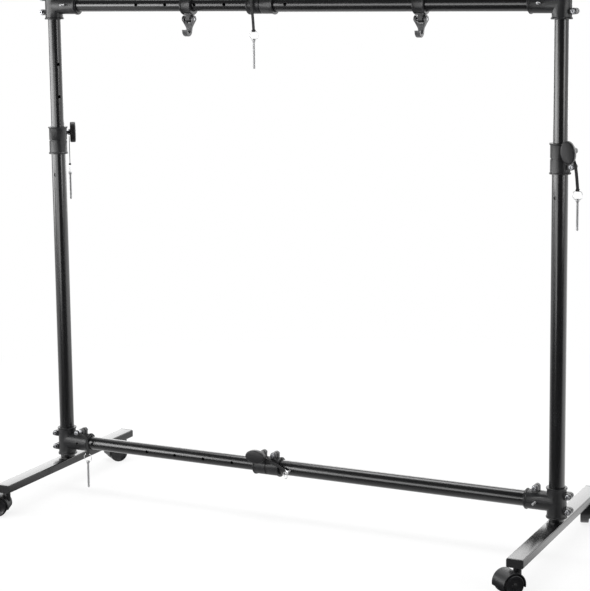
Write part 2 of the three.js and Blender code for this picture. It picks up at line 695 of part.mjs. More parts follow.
function lockingPin() {
  const headBottom = -PIN_HEAD_LENGTH;
  const profile = [
    [0, -PIN_LENGTH],
    [PIN_RADIUS - PIN_TIP, -PIN_LENGTH],
    [PIN_RADIUS, PIN_TIP - PIN_LENGTH],
    [PIN_RADIUS, headBottom - PIN_HEAD_CONE],
    [PIN_HEAD_RADIUS, headBottom],
    [PIN_HEAD_RADIUS, 0],
    [0, 0],
  ];
  return turned(profile, PIN_SIDES);
}

function ring(wire) {
  return new THREE.TorusGeometry(RING_RADIUS, wire, WIRE_SIDES, RING_SIDES);
}

// A lanyard lies in its own XZ plane, with its eyelet round the origin and its path given as [x, z] points.
// The barrel at its end and the eye of the pin hold the ring, which lies in the plane of `across` and the line between them.
function lanyardParts(path, pinEye, pinDirection, across) {
  const [endX, endZ] = path[path.length - 1];
  const barrelAt = point(endX, 0, endZ);
  const chord = pinEye.clone().sub(barrelAt);
  const along = chord.clone().normalize();
  const sideways = across.clone().addScaledVector(along, -across.dot(along)).normalize();
  const normal = new THREE.Vector3().crossVectors(along, sideways);
  const sag = Math.sqrt(Math.max(0, RING_RADIUS ** 2 - chord.lengthSq() / 4));
  const centre = barrelAt.clone().addScaledVector(chord, 1 / 2).addScaledVector(sideways, -sag);
  const ringPlace = new THREE.Matrix4().makeBasis(along, sideways, normal).setPosition(centre);
  const ringTool = () => ring(RING_HOLE_WIRE).applyMatrix4(ringPlace);

  const toBarrel = barrelAt.clone().sub(centre);
  const tangent = new THREE.Vector3().crossVectors(normal, toBarrel).normalize();
  const barrelTurn = new THREE.Quaternion().setFromUnitVectors(zAxis, tangent);
  const barrel = cylinder(BARREL_RADIUS, -BARREL_HALF_LENGTH, BARREL_HALF_LENGTH, BARREL_SIDES)
    .applyQuaternion(barrelTurn)
    .translate(barrelAt.x, barrelAt.y, barrelAt.z);
  const eyelet = alongY(cylinder(EYELET_RADIUS, -STRAP_HALF_THICKNESS, STRAP_HALF_THICKNESS, EYELET_SIDES));
  const eyeletHole = alongY(cylinder(EYELET_HOLE_RADIUS, -OVERRUN, OVERRUN, EYELET_SIDES));
  const strap = cut(join(frontPlate(band(path), STRAP_HALF_THICKNESS), eyelet, barrel), eyeletHole, ringTool());

  const pinTurn = new THREE.Quaternion().setFromUnitVectors(back(zAxis), pinDirection);
  const pinTop = pinEye.clone().addScaledVector(pinDirection, -PIN_EYE);
  const pin = cut(lockingPin().applyQuaternion(pinTurn).translate(pinTop.x, pinTop.y, pinTop.z), ringTool());
  return { strap, ring: ring(RING_WIRE).applyMatrix4(ringPlace), pin };
}

// The outline of a strap of even width along a path
function band(path) {
  const sides = [[], []];
  path.forEach(([x, z], index) => {
    const [fromX, fromZ] = path[Math.max(0, index - 1)];
    const [toX, toZ] = path[Math.min(path.length - 1, index + 1)];
    const length = Math.hypot(toX - fromX, toZ - fromZ);
    const offX = ((fromZ - toZ) / length) * STRAP_HALF_WIDTH;
    const offZ = ((toX - fromX) / length) * STRAP_HALF_WIDTH;
    sides[0].push([x - offX, z - offZ]);
    sides[1].push([x + offX, z + offZ]);
  });
  return outline([...sides[0], ...sides[1].reverse()]);
}

function addLanyard(name, material, at, ownX, parts) {
  const where = place(at, ownX);
  addNode("lanyard_" + name, parts.strap, material, where);
  addNode("lanyard_ring_" + name, parts.ring, chromeSteel, where);
  addNode("pin_" + name, parts.pin, chromeSteel, where);
}

// The bolt through the ears of the lower left arm, long enough to carry a lanyard in front
function lanyardBolt() {
  const eyeletBack = STRAP_PLANE - STRAP_HALF_THICKNESS - GAP;
  const profile = [
    [0, -EAR_HALF_DEPTH - GAP - LANYARD_BOLT_HEAD_LENGTH],
    [LANYARD_BOLT_HEAD_RADIUS, -EAR_HALF_DEPTH - GAP - LANYARD_BOLT_HEAD_LENGTH],
    [LANYARD_BOLT_HEAD_RADIUS, -EAR_HALF_DEPTH - GAP],
    [BOLT_RADIUS, -EAR_HALF_DEPTH - GAP],
    [BOLT_RADIUS, EAR_HALF_DEPTH + GAP],
    [LANYARD_BOLT_HEAD_RADIUS, EAR_HALF_DEPTH + GAP],
    [LANYARD_BOLT_HEAD_RADIUS, eyeletBack],
    [BOLT_RADIUS, eyeletBack],
    [BOLT_RADIUS, STRAP_PLANE + STRAP_HALF_THICKNESS + GAP],
    [LANYARD_BOLT_HEAD_RADIUS, STRAP_PLANE + STRAP_HALF_THICKNESS + GAP],
    [LANYARD_BOLT_HEAD_RADIUS, LANYARD_BOLT_END],
    [0, LANYARD_BOLT_END],
  ];
  return turned(profile, BOLT_SIDES).rotateX(Math.PI / 2);
}

// The stand, put together

const sides = [
  { side: "left", x: -halfSpacing, inward: xAxis },
  { side: "right", x: halfSpacing, inward: back(xAxis) },
];

for (const { side, x, inward } of sides) {
  const barIsInner = side === "left";
  const barRadius = barIsInner ? INNER_TUBE_RADIUS : OUTER_TUBE_RADIUS;
  const footAt = point(x, 0, FOOT_UNDERSIDE + FOOT_HEIGHT / 2);
  const upright = point(x, 0, 0);
  addNode("foot_" + side, foot(), blackTube, place(footAt));
  addNode("foot_cap_back_" + side, footCap(), blackPlastic, place(footAt));
  addNode("foot_cap_front_" + side, footCap(), blackPlastic, place(footAt, back(xAxis)));
  addNode("upright_lower_" + side, lowerUprightTube(), blackTube, place(upright));
  const holeTurn = barIsInner ? LEFT_HOLE_TURN : RIGHT_HOLE_TURN;
  addNode("upright_upper_" + side, upperUprightTube(holeTurn), blackTube, place(upright));
  const lowerT = point(x, 0, LOWER_BAR_HEIGHT);
  const upperT = point(x, 0, UPPER_BAR_HEIGHT);
  addNode("t_clamp_lower_" + side, tClamp(OUTER_TUBE_RADIUS, barRadius), castClamp, place(lowerT, inward));
  addNode("t_clamp_upper_" + side, tClamp(INNER_TUBE_RADIUS, barRadius), castClamp, place(upperT, inward));
}

addNode("bar_lower_inner", lowerInnerBar(), blackTube, place(point(0, 0, LOWER_BAR_HEIGHT), back(zAxis), xAxis));
addNode("bar_lower_outer", outerBar(), blackTube, place(point(0, 0, LOWER_BAR_HEIGHT), back(zAxis), xAxis));
addNode("bar_upper_inner", upperInnerBar(), blackTube, place(point(0, 0, UPPER_BAR_HEIGHT), back(zAxis), xAxis));
addNode("bar_upper_outer", outerBar(), blackTube, place(point(0, 0, UPPER_BAR_HEIGHT), back(zAxis), xAxis));

const leftEars = turnedAboutZ(xAxis, LEFT_COLLAR_TURN);
const collars = [
  { name: "upright_left", at: point(-halfSpacing, 0, UPRIGHT_COLLAR_HEIGHT), ears: leftEars, toInner: zAxis, turn: LEFT_KNOB_TURN },
  { name: "upright_right", at: point(halfSpacing, 0, UPRIGHT_COLLAR_HEIGHT), ears: xAxis, toInner: zAxis, turn: RIGHT_KNOB_TURN },
  { name: "bar_lower", at: point(BAR_COLLAR_X, 0, LOWER_BAR_HEIGHT), ears: zAxis, toInner: back(xAxis), turn: BAR_KNOB_TURN },
  { name: "bar_upper", at: point(BAR_COLLAR_X, 0, UPPER_BAR_HEIGHT), ears: zAxis, toInner: back(xAxis), turn: BAR_KNOB_TURN },
];

for (const { name, at, ears, toInner, turn } of collars) {
  addNode("collar_" + name, collar(), castClamp, place(at, ears, toInner));
  addNode("knob_" + name, handKnob(turn), blackPlastic, place(at, ears, toInner));
}

const hangers = [
  { side: "left", x: LEFT_HANGER_X, barRadius: INNER_TUBE_RADIUS },
  { side: "right", x: RIGHT_HANGER_X, barRadius: OUTER_TUBE_RADIUS },
];

for (const { side, x, barRadius } of hangers) {
  const where = place(point(x, 0, UPPER_BAR_HEIGHT));
  addNode("hanger_clamp_" + side, hangerClamp(barRadius), castClamp, where);
  addNode("hanger_hook_" + side, hangerHook(), castClamp, where);
  addNode("hanger_pivot_" + side, pivotPin(), chromeSteel, where);
}

// Where each caster's wheels trail: the way its wheels lie behind its stem
const frontY = CASTER_FROM_FOOT_END - FOOT_LENGTH / 2;
const casters = [
  { name: "front_left", x: -halfSpacing, y: frontY, trail: [-0.915, -0.4] },
  { name: "front_right", x: halfSpacing, y: frontY, trail: [-0.62, -0.785] },
  { name: "back_left", x: -halfSpacing, y: -frontY, trail: [-0.62, -0.785] },
  { name: "back_right", x: halfSpacing, y: -frontY, trail: [0.27, -0.96] },
];

for (const { name, x, y, trail } of casters) {
  const where = place(point(x, y, 0), point(...trail, 0).normalize());
  addNode("caster_body_" + name, casterBody(), blackPlastic, where);
  addNode("caster_wheels_" + name, wheelPair(), blackPlastic, where);
}

// The pins that are pushed in from behind hold the bars in three of the T-clamps
const seatedPins = [
  { name: "upper_left", x: T_PIN_HOLE - halfSpacing, z: UPPER_BAR_HEIGHT },
  { name: "upper_right", x: halfSpacing - T_PIN_HOLE, z: UPPER_BAR_HEIGHT },
  { name: "lower_right", x: halfSpacing - T_PIN_HOLE, z: LOWER_BAR_HEIGHT },
];

for (const { name, x, z } of seatedPins) {
  const headTop = PIN_SEAT + PIN_HEAD_CONE + PIN_HEAD_LENGTH;
  addNode("pin_" + name, lockingPin(), chromeSteel, place(point(x, headTop, z), xAxis, yAxis));
}

// The lanyards: how far the barrel, and so the ring and pin, hang from the eyelet
const UPPER_BAR_STRAP = [
  [-2, -32],
  [-5, -64],
  [-7, -95.5],
];
const LEFT_STRAP = [
  [0, -30],
  [0, -60],
  [0, -86.5],
];
const RIGHT_STRAP = [
  [-11, -21],
  [-16, -45],
  [-20, -86.5],
];
const LOWER_LEFT_STRAP = [
  [-20, -6],
  [-29, -16],
  [-32, -31],
  [-32.5, -53],
];
const LOWER_BAR_STRAP = [
  [-28, -10],
  [-55, -19],
  [-76.5, -29.5],
];

const frontX = back(xAxis); // a lanyard in front of its tube has its own X to the stand's left
const eyeDrop = point(0, 0, -RING_RADIUS - RING_RADIUS);
const hangingParts = (path) => {
  const [endX, endZ] = path[path.length - 1];
  return lanyardParts([[0, 0], ...path], point(endX, 0, endZ).add(eyeDrop), back(zAxis), xAxis);
};

const knobZ = UPRIGHT_COLLAR_HEIGHT + COLLAR_EAR_OFFSET;
const barKnobX = BAR_COLLAR_X - COLLAR_EAR_OFFSET;
const leftKnobSide = turnedAboutZ(back(yAxis), LEFT_COLLAR_TURN);
const leftEyelet = point(-halfSpacing, 0, knobZ)
  .addScaledVector(leftEars, EAR_DISTANCE)
  .addScaledVector(leftKnobSide, STRAP_PLANE);
const upperEyelet = point(barKnobX, -STRAP_PLANE, UPPER_BAR_HEIGHT + EAR_DISTANCE);
const rightEyelet = point(halfSpacing + EAR_DISTANCE, -STRAP_PLANE, knobZ);
const lowerLeftEyelet = point(T_ARM_BOLT - halfSpacing, -STRAP_PLANE, LOWER_BAR_HEIGHT + EAR_DISTANCE);
const lowerEyelet = point(barKnobX, -STRAP_PLANE, LOWER_BAR_HEIGHT + EAR_DISTANCE);

addLanyard("bar_upper", blackPlastic, upperEyelet, frontX, hangingParts(UPPER_BAR_STRAP));
addLanyard("upright_left", blackPlastic, leftEyelet, back(leftEars), hangingParts(LEFT_STRAP));
addLanyard("upright_right", blackPlastic, rightEyelet, frontX, hangingParts(RIGHT_STRAP));
addLanyard("lower_left", blackPlastic, lowerLeftEyelet, frontX, hangingParts(LOWER_LEFT_STRAP));

const lockEye = point(barKnobX - BAR_LOCK_HOLE_X, -STRAP_PLANE - LOCK_PIN_HEAD_Y - PIN_EYE, -EAR_DISTANCE);
const lockParts = lanyardParts([[0, 0], ...LOWER_BAR_STRAP], lockEye, back(yAxis), zAxis);
addLanyard("bar_lower", blackPlastic, lowerEyelet, frontX, lockParts);

const boltAt = point(T_ARM_BOLT - halfSpacing, 0, LOWER_BAR_HEIGHT + EAR_DISTANCE);
addNode("lanyard_bolt_lower_left", lanyardBolt(), chromeSteel, place(boltAt));

export default stand;
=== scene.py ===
"""Looks for a rolling gong stand: coats, fasteners, knobs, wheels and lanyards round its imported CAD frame."""

import json
import math

import bmesh
import bpy
import numpy as np
from bpy.props import FloatProperty, FloatVectorProperty, PointerProperty
from mathutils import Matrix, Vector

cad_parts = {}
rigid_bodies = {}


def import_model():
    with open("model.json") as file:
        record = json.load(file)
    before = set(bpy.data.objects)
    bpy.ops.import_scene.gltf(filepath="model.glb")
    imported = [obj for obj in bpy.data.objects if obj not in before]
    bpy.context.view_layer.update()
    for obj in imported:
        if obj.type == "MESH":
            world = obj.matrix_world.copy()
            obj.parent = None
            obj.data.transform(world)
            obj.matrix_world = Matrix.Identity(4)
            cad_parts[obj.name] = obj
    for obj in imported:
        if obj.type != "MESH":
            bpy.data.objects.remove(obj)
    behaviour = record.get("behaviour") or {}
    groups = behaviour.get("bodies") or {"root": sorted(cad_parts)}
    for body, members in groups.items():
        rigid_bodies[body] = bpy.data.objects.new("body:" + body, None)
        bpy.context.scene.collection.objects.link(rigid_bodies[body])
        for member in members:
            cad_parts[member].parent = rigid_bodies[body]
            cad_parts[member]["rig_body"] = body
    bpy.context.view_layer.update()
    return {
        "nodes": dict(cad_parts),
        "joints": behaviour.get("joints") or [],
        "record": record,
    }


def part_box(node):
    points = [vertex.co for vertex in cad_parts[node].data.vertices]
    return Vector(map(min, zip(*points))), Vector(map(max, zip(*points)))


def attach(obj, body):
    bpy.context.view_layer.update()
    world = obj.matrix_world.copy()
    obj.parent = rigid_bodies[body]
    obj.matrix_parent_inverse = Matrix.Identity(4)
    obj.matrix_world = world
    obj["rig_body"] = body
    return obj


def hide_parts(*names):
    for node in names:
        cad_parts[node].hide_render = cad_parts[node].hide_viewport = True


bl_info = {
    "name": "Gong Stand",
    "version": (1, 0, 0),
    "blender": (4, 5, 0),
    "location": "View3D > Sidebar > Gong Stand",
    "description": "Dresses the CAD frame of a rolling gong stand",
    "category": "Add Mesh",
}

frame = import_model()
node_body = {
    node: body
    for body, nodes in frame["record"]["behaviour"]["bodies"].items()
    for node in nodes
}

MM = 0.001
X, Y, Z = np.eye(3)
SIDES = ("left", "right")
LEVELS = ("lower", "upper")
UPRIGHT_COLLARS = ("upright_left", "upright_right")
BAR_COLLARS = ("bar_lower", "bar_upper")
SHARP = 38  # degrees between two faces, past which their edge stays sharp


def corners(node):
    """The low and the high corner of a CAD node's box, in metres."""
    return [np.array(corner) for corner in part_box(node)]


def middle(node):
    """The middle of a CAD node's box, in metres."""
    low, high = corners(node)
    return (low + high) / 2


# Where things are, read from the frame
upright = {side: middle("upright_lower_" + side) * [1, 1, 0] for side in SIDES}
bar_height = {level: middle(f"bar_{level}_outer")[2] for level in LEVELS}
bar_y = middle("bar_upper_outer")[1]

# Sizes of the CAD clamps that their fasteners follow
clamp_ears = 31 * MM  # from a tube's axis to the bolts through a clamp's ears
ear_half_depth = 12 * MM
t_ears_height = 18.5 * MM  # of a T-clamp's two outer ears above and below its middle
t_arm_bolt = 51 * MM  # from an upright's axis to the bolt over a T-clamp's arm
collar_half_length = 36 * MM
collar_half_pitch = 18 * MM  # from a collar's middle to each pair of ears
left_collar_turn = math.radians(122.6)  # of its ears from X
strap_plane = 28.6 * MM  # from the middle of the ears to a strap's eyelet


# Colours and sizes that a user would change


def size(name, millimetres, description):
    return FloatProperty(
        name=name, description=description, default=millimetres * MM, unit="LENGTH", precision=4
    )


def colour(name, rgb, description):
    return FloatVectorProperty(
        name=name, description=description, default=rgb, size=3, min=0, max=1, subtype="COLOR"
    )


def lamp(name, watts, description):
    return FloatProperty(name=name, description=description, default=watts, unit="POWER")


class GongStandFinishes(bpy.types.PropertyGroup):
    """Colours of the stand's coats, mouldings and plating."""

    tube_coat: colour("Tube coat", (0.007, 0.007, 0.0075), "Satin powder coat on the tubes and feet")
    casting_coat: colour("Casting coat", (0.013, 0.0132, 0.0142), "Dull coat on the clamps")
    hook_coat: colour("Hook coat", (0.06, 0.0605, 0.0625), "Paler coat on the two hooks")
    moulding: colour("Moulding", (0.012, 0.012, 0.013), "Knobs and end caps")
    tread: colour("Wheels", (0.008, 0.008, 0.009), "Caster wheels and hoods")
    strap: colour("Strap", (0.009, 0.009, 0.0095), "Lanyard straps")
    plating: colour("Plating", (0.4, 0.405, 0.42), "Bolts, washers and nuts")
    pin_plating: colour("Pin plating", (0.56, 0.562, 0.57), "Locking pins")
    ring_plating: colour("Ring plating", (0.85, 0.86, 0.88), "Rings of the lanyards")


class GongStandSizes(bpy.types.PropertyGroup):
    """Sizes of the fittings that are only in the visual model."""

    casting_edge: size("Casting edge", 0.9, "Rounding of the clamps' edges")
    bolt_head: size("Bolt head", 10, "Diameter of the clamp bolts' heads")
    bolt_head_height: size("Bolt head height", 5.6, "Height of the clamp bolts' heads")
    knob_length: size("Knob length", 54.5, "Long axis of the oval hand knobs")
    knob_width: size("Knob width", 34, "Short axis of the oval hand knobs")
    knob_edge: size("Knob edge", 3.4, "Rounding of the hand knobs' edges")
    strap_width: size("Strap width", 7.4, "Width of the lanyard straps")
    strap_thickness: size("Strap thickness", 1.8, "Thickness of the lanyard straps")
    ring_wire: size("Ring wire", 1.8, "Diameter of the lanyard rings' wire")


class GongStandStage(bpy.types.PropertyGroup):
    """Light, floor and camera."""

    left_power: lamp("Left panel", 86, "Power of the tall panel at the left")
    front_power: lamp("Front panel", 36, "Power of the low panel in front")
    right_power: lamp("Right box", 22, "Power of the soft box at the right")
    top_power: lamp("Top box", 70, "Power of the soft box overhead")
    back_power: lamp("Back panel", 88, "Power of the wide panel behind")
    room: FloatProperty(name="Room light", description="Strength of the room's even light", default=0.45)
    lens: FloatProperty(
        name="Lens", description="Focal length on 36 mm", default=104.49, subtype="DISTANCE_CAMERA"
    )
    floor: colour("Floor", (0.92, 0.92, 0.92), "The pale floor")


# Surfaces as arrays


def around(steps):
    """Angles u in equal steps over one turn."""
    return np.linspace(0, 2 * math.pi, steps, endpoint=False)


def grid(points, closed=True, tube=False):
    """Faces over a net of points; `closed` joins each row's ends, and `tube` the last row to the first."""
    rows, columns = points.shape[:2]
    index = np.arange(rows * columns).reshape(rows, columns)
    if closed:
        index = np.concatenate([index, index[:, :1]], axis=1)
    if tube:
        index = np.concatenate([index, index[:1]], axis=0)
    faces = np.stack([index[:-1, :-1], index[:-1, 1:], index[1:, 1:], index[1:, :-1]], axis=-1)
    return points.reshape(-1, 3), faces.reshape(-1, 4)


def lathe(profile, sides):
    """A profile (r, h) turned about Z: each point runs over (r cos u, r sin u, h)."""
    r, h = np.asarray(profile, float).T[..., None]
    u = around(sides)
    return grid(np.stack([r * np.cos(u), r * np.sin(u), h + 0 * u], axis=-1))


def rounded(profile, radius, steps=4):
    """A profile with each corner c blended from a to b on its two sides: (1-t)^2 a + 2t(1-t) c + t^2 b."""
    profile = np.asarray(profile, float)
    t = np.linspace(0, 1, steps + 1)[:, None]
    rows = [profile[:1]]
    for before, corner, after in zip(profile[:-2], profile[1:-1], profile[2:]):
        into, out = before - corner, after - corner
        long_in, long_out = np.linalg.norm(into), np.linalg.norm(out)
        r = min(radius, long_in * 0.45, long_out * 0.45)
        a, b = corner + into / long_in * r, corner + out / long_out * r
        rows.append((1 - t) ** 2 * a + 2 * t * (1 - t) * corner + t**2 * b)
    rows.append(profile[-1:])
    return np.concatenate(rows)


def ring_surface(radius, wire, turns=72, sides=16):
    """A torus about Z: ((R + w cos v) cos u, (R + w cos v) sin u, w sin v)."""
    v = around(sides)[:, None]
    u = around(turns)
    reach = radius + wire * np.cos(v)
    return grid(np.stack([reach * np.cos(u), reach * np.sin(u), wire * np.sin(v) + 0 * u], axis=-1), tube=True)


def oval_plate(half_width, half_length, rows, sides=64):
    """An oval slab: row (scale s, inset i, height h) runs over ((b - i) s cos u, (a - i) s sin u, h)."""
    s, i, h = np.asarray(rows, float).T[..., None]
    u = around(sides)
    x = (half_width - i) * s * np.cos(u)
    y = (half_length - i) * s * np.sin(u)
    return grid(np.stack([x, y, h + 0 * u], axis=-1))


def swept(path, section, across):
    """A closed section carried along a path: P(v) + x(u) A(v) + y(u) N(v), with A near `across`."""
    path, section, across = (np.asarray(a, float) for a in (path, section, across))
    along = np.gradient(path, axis=0)
    along /= np.linalg.norm(along, axis=1)[:, None]
    sideways = across - along * (along @ across)[:, None]
    sideways /= np.linalg.norm(sideways, axis=1)[:, None]
    normal = np.cross(along, sideways)
    body = path[:, None] + section[:, :1] * sideways[:, None] + section[:, 1:] * normal[:, None]
    ends = [np.repeat(path[k][None, None], len(section), axis=1) for k in (0, -1)]
    return grid(np.concatenate([ends[0], body, ends[1]]))


def superellipse(half_x, half_y, power, sides):
    """Points of |x/a|^n + |y/b|^n = 1, from sign(cos u)|cos u|^(2/n) and the same with sin u."""
    u = around(sides)
    c, s = np.cos(u), np.sin(u)
    x = half_x * np.sign(c) * np.abs(c) ** (2 / power)
    y = half_y * np.sign(s) * np.abs(s) ** (2 / power)
    return np.stack([x, y], axis=1)


def set_at(surface, origin, own_z=Z, own_x=None):
    """A surface with its own Z and X axes turned to the given ones and its zero put at origin."""
    points, faces = surface
    own_z = np.asarray(own_z, float) / np.linalg.norm(own_z)
    if own_x is None:
        own_x = X if abs(own_z[0]) < 0.9 else Y
    own_x = np.asarray(own_x, float) - own_z * np.dot(own_x, own_z)
    own_x /= np.linalg.norm(own_x)
    axes = np.stack([own_x, np.cross(own_z, own_x), own_z])
    return points @ axes + np.asarray(origin, float), faces


# Pieces


def linked(name, data):
    """A new object with that data, in the scene."""
    obj = bpy.data.objects.new(name, data)
    bpy.context.scene.collection.objects.link(obj)
    return obj


def finish_mesh(obj, keep_sharp=SHARP):
    """Smooth faces, with the edges sharper than that many degrees left sharp."""
    obj.data.polygons.foreach_set("use_smooth", np.ones(len(obj.data.polygons), bool))
    obj.data.set_sharp_from_angle(angle=math.radians(keep_sharp))
    obj.data.update()


def piece(name, surfaces, material, body, stands_for=(), keep_sharp=SHARP):
    """One object of several surfaces, with their doubled points merged, so that seams and poles are closed."""
    points, faces, start = [], [], 0
    for surface_points, surface_faces in surfaces:
        points.append(surface_points)
        faces.extend((surface_faces + start).tolist())
        start += len(surface_points)
    mesh = bpy.data.meshes.new(name)
    mesh.from_pydata(np.concatenate(points).tolist(), [], faces)
    merged = bmesh.new()
    merged.from_mesh(mesh)
    bmesh.ops.remove_doubles(merged, verts=merged.verts, dist=0.001 * MM)
    merged.to_mesh(mesh)
    merged.free()
    return placed_piece(name, mesh, material, body, stands_for, keep_sharp)


def placed_piece(name, mesh, material, body, stands_for, keep_sharp=SHARP):
    """A mesh as an object with one material, which rides on a body and may stand for CAD nodes."""
    obj = linked(name, mesh)
    mesh.materials.clear()
    mesh.materials.append(material)
    finish_mesh(obj, keep_sharp)
    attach(obj, body)
    if stands_for:
        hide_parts(*stands_for)
    return obj


def softened(node, material, edge, segments=2):
    """A CAD node's own shape: its triangles merged, its flat faces joined and its edges rounded by a bevel."""
    flat = math.radians(0.6)
    merged = bmesh.new()
    merged.from_mesh(frame["nodes"][node].data)
    bmesh.ops.remove_doubles(merged, verts=merged.verts, dist=0.02 * MM)
    bmesh.ops.dissolve_limit(merged, angle_limit=flat, verts=merged.verts, edges=merged.edges)
    mesh = bpy.data.meshes.new(node + "_dressed")
    merged.to_mesh(mesh)
    merged.free()
    obj = placed_piece(node + "_dressed", mesh, material, node_body[node], (node,))
    bevel = obj.modifiers.new("edges", "BEVEL")
    bevel.width = edge
    bevel.segments = segments
    bevel.limit_method = "ANGLE"
    bevel.angle_limit = math.radians(SHARP)
    bevel.harden_normals = True
    return obj


def drill(radius, tube_radius):
    """A drill through a tube: its profile widens to a small cone where it leaves the wall."""
    flared = radius + 0.9 * MM
    half = [(radius, tube_radius - 1.1 * MM), (flared, tube_radius - 0.2 * MM), (flared, tube_radius * 1.5)]
    rows = [(r, -h) for r, h in half[::-1]] + half
    return lathe([(0, rows[0][1]), *rows, (0, rows[-1][1])], 28)


def slot_cutter(centre, half_length, radius, reach):
    """A cutter along Y for a slot along X: a circle whose halves stand apart, (r cos u + a or - a, r sin u)."""
    steps = 17
    u = np.concatenate([np.linspace(-0.5, 0.5, steps), np.linspace(0.5, 1.5, steps)]) * math.pi
    apart = np.repeat([half_length, -half_length], steps)
    ring = np.stack([radius * np.cos(u) + apart, 0 * u, radius * np.sin(u)], axis=1)
    rows = [ring * [s, 0, s] + Y * y for s, y in ((0, reach), (1, reach), (1, -reach), (0, -reach))]
    return grid(np.stack(rows) + centre)


def drilled(obj, tools):
    """Cuts the tools, which are closed surfaces, out of a piece."""
    cutter = piece(obj.name + "_cutter", tools, obj.data.materials[0], obj["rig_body"])
    boolean = obj.modifiers.new("holes", "BOOLEAN")
    boolean.object = cutter
    boolean.solver = "EXACT"
    bpy.context.view_layer.update()
    evaluated = obj.evaluated_get(bpy.context.evaluated_depsgraph_get())
    cut = bpy.data.meshes.new_from_object(evaluated)
    obj.modifiers.clear()
    obj.data = cut
    finish_mesh(obj, keep_sharp=30)
    bpy.data.objects.remove(cutter)
    return obj


# Materials


class Value:
    """A number or colour that changes over a surface. Its sums, differences and products add Math nodes."""

    def __init__(self, tree, socket):
        self.tree, self.socket = tree, socket

    def math(self, operation, a, b):
        return self.tree.node("ShaderNodeMath", {"operation": operation}, {0: a, 1: b})

    def __add__(self, other):
        return self.math("ADD", self, other)

    def __sub__(self, other):
        return self.math("SUBTRACT", self, other)

    def __rsub__(self, other):
        return self.math("SUBTRACT", other, self)

    def __mul__(self, other):
        return self.math("MULTIPLY", self, other)

    def at_least(self, other):
        return self.math("MAXIMUM", self, other)

    __radd__ = __add__
    __rmul__ = __mul__


class Nodes:
    """A node tree, and the one way in which nodes are made: settings first, then inputs by name or number."""

    def __init__(self, tree):
        self.tree = tree

    def node(self, kind, settings, inputs, output=0):
        made = self.tree.nodes.new(kind)
        for name, value in settings.items():
            setattr(made, name, value)
        for name, value in inputs.items():
            if isinstance(value, Value):
                self.tree.links.new(value.socket, made.inputs[name])
            else:
                made.inputs[name].default_value = value
        return Value(self, made.outputs[output])

    def mix(self, factor, first, second):
        """A colour between two others; a Mix node's colour sockets are 6 and 7, and its colour output is 2."""
        return self.node("ShaderNodeMix", {"data_type": "RGBA"}, {0: factor, 6: first, 7: second}, 2)

    def between(self, factor, low, high, out_low=0.0, out_high=1.0):
        """A number carried from the range low to high into another, and kept inside it."""
        inputs = {0: factor, 1: low, 2: high, 3: out_low, 4: out_high}
        return self.node("ShaderNodeMapRange", {"clamp": True}, inputs)

    def ray(self, kind):
        """1 for that kind of ray, such as Is Camera Ray, and 0 for the others."""
        return self.node("ShaderNodeLightPath", {}, {}, kind)


class Finish(Nodes):
    """One material with a Principled shader, whose fixed values are set on the shader's own sockets."""

    def __init__(self, name, colour_rgb, **fixed):
        self.material = bpy.data.materials.new(name)
        self.material.use_nodes = True
        super().__init__(self.material.node_tree)
        self.shader = self.tree.nodes["Principled BSDF"]
        self.material.diffuse_color = (*colour_rgb, 1)
        self.colour = tuple(colour_rgb)
        for socket, value in {"Base Color": (*colour_rgb, 1), **fixed}.items():
            self.shader.inputs[socket].default_value = value
        self.place = self.node("ShaderNodeTexCoord", {}, {}, "Object")

    def noise(self, scale, detail=3.0, rough=0.5, stretch=(1, 1, 1)):
        """Noise of that many waves a metre, stretched along the object's axes."""
        place = self.node("ShaderNodeMapping", {}, {"Vector": self.place, "Scale": stretch})
        inputs = {"Vector": place, "Scale": scale, "Detail": detail, "Roughness": rough}
        return self.node("ShaderNodeTexNoise", {}, inputs)

    def shade(self, scale):
        """The finish's own colour made lighter or darker."""
        return (*(min(1.0, c * scale) for c in self.colour), 1)

    def feed(self, socket, value):
        self.tree.links.new(value.socket, self.shader.inputs[socket])

    def bump(self, height, depth):
        """Relief of that depth in metres."""
        inputs = {"Height": height, "Distance": depth, "Strength": 1.0}
        self.feed("Normal", self.node("ShaderNodeBump", {}, inputs))


finishes = {}


def tube_coat(name, rgb, ior, clear, uneven):
    """Satin black powder coat: fine orange peel, cloudy gloss and a few dull rub marks, all times `uneven`."""
    coat = Finish(name, rgb, **{"IOR": ior, "Coat Weight": clear, "Coat Roughness": 0.18})
    peel = coat.noise(650, 2.0)
    cloud = coat.noise(9, 3.0)
    rub = coat.between(coat.noise(55, 4.0, 0.6, (1, 1, 0.25)), 0.58, 0.72)
    pale = cloud * (0.6 * uneven) + rub * (0.25 * uneven)
    coat.feed("Base Color", coat.mix(pale, coat.shade(0.8), coat.shade(1.9)))
    coat.feed("Roughness", cloud * (0.06 * uneven) + rub * (0.04 * uneven) + 0.22)
    coat.bump(peel, 0.001 * MM * uneven)
    return coat.material


def casting_coat(name, rgb):
    """Dull grey-black coat on die castings: a grain of about a millimetre and paler worn patches."""
    coat = Finish(name, rgb, **{"IOR": 1.5})
    grain = coat.noise(1500, 4.0, 0.6)
    wear = coat.between(coat.noise(70, 5.0, 0.65), 0.52, 0.75)
    coat.feed("Base Color", coat.mix(wear * 0.7 + grain * 0.2, coat.shade(0.85), coat.shade(1.8)))
    coat.feed("Roughness", grain * 0.12 + wear * -0.06 + 0.33)
    coat.bump(grain, 0.02 * MM)
    return coat.material


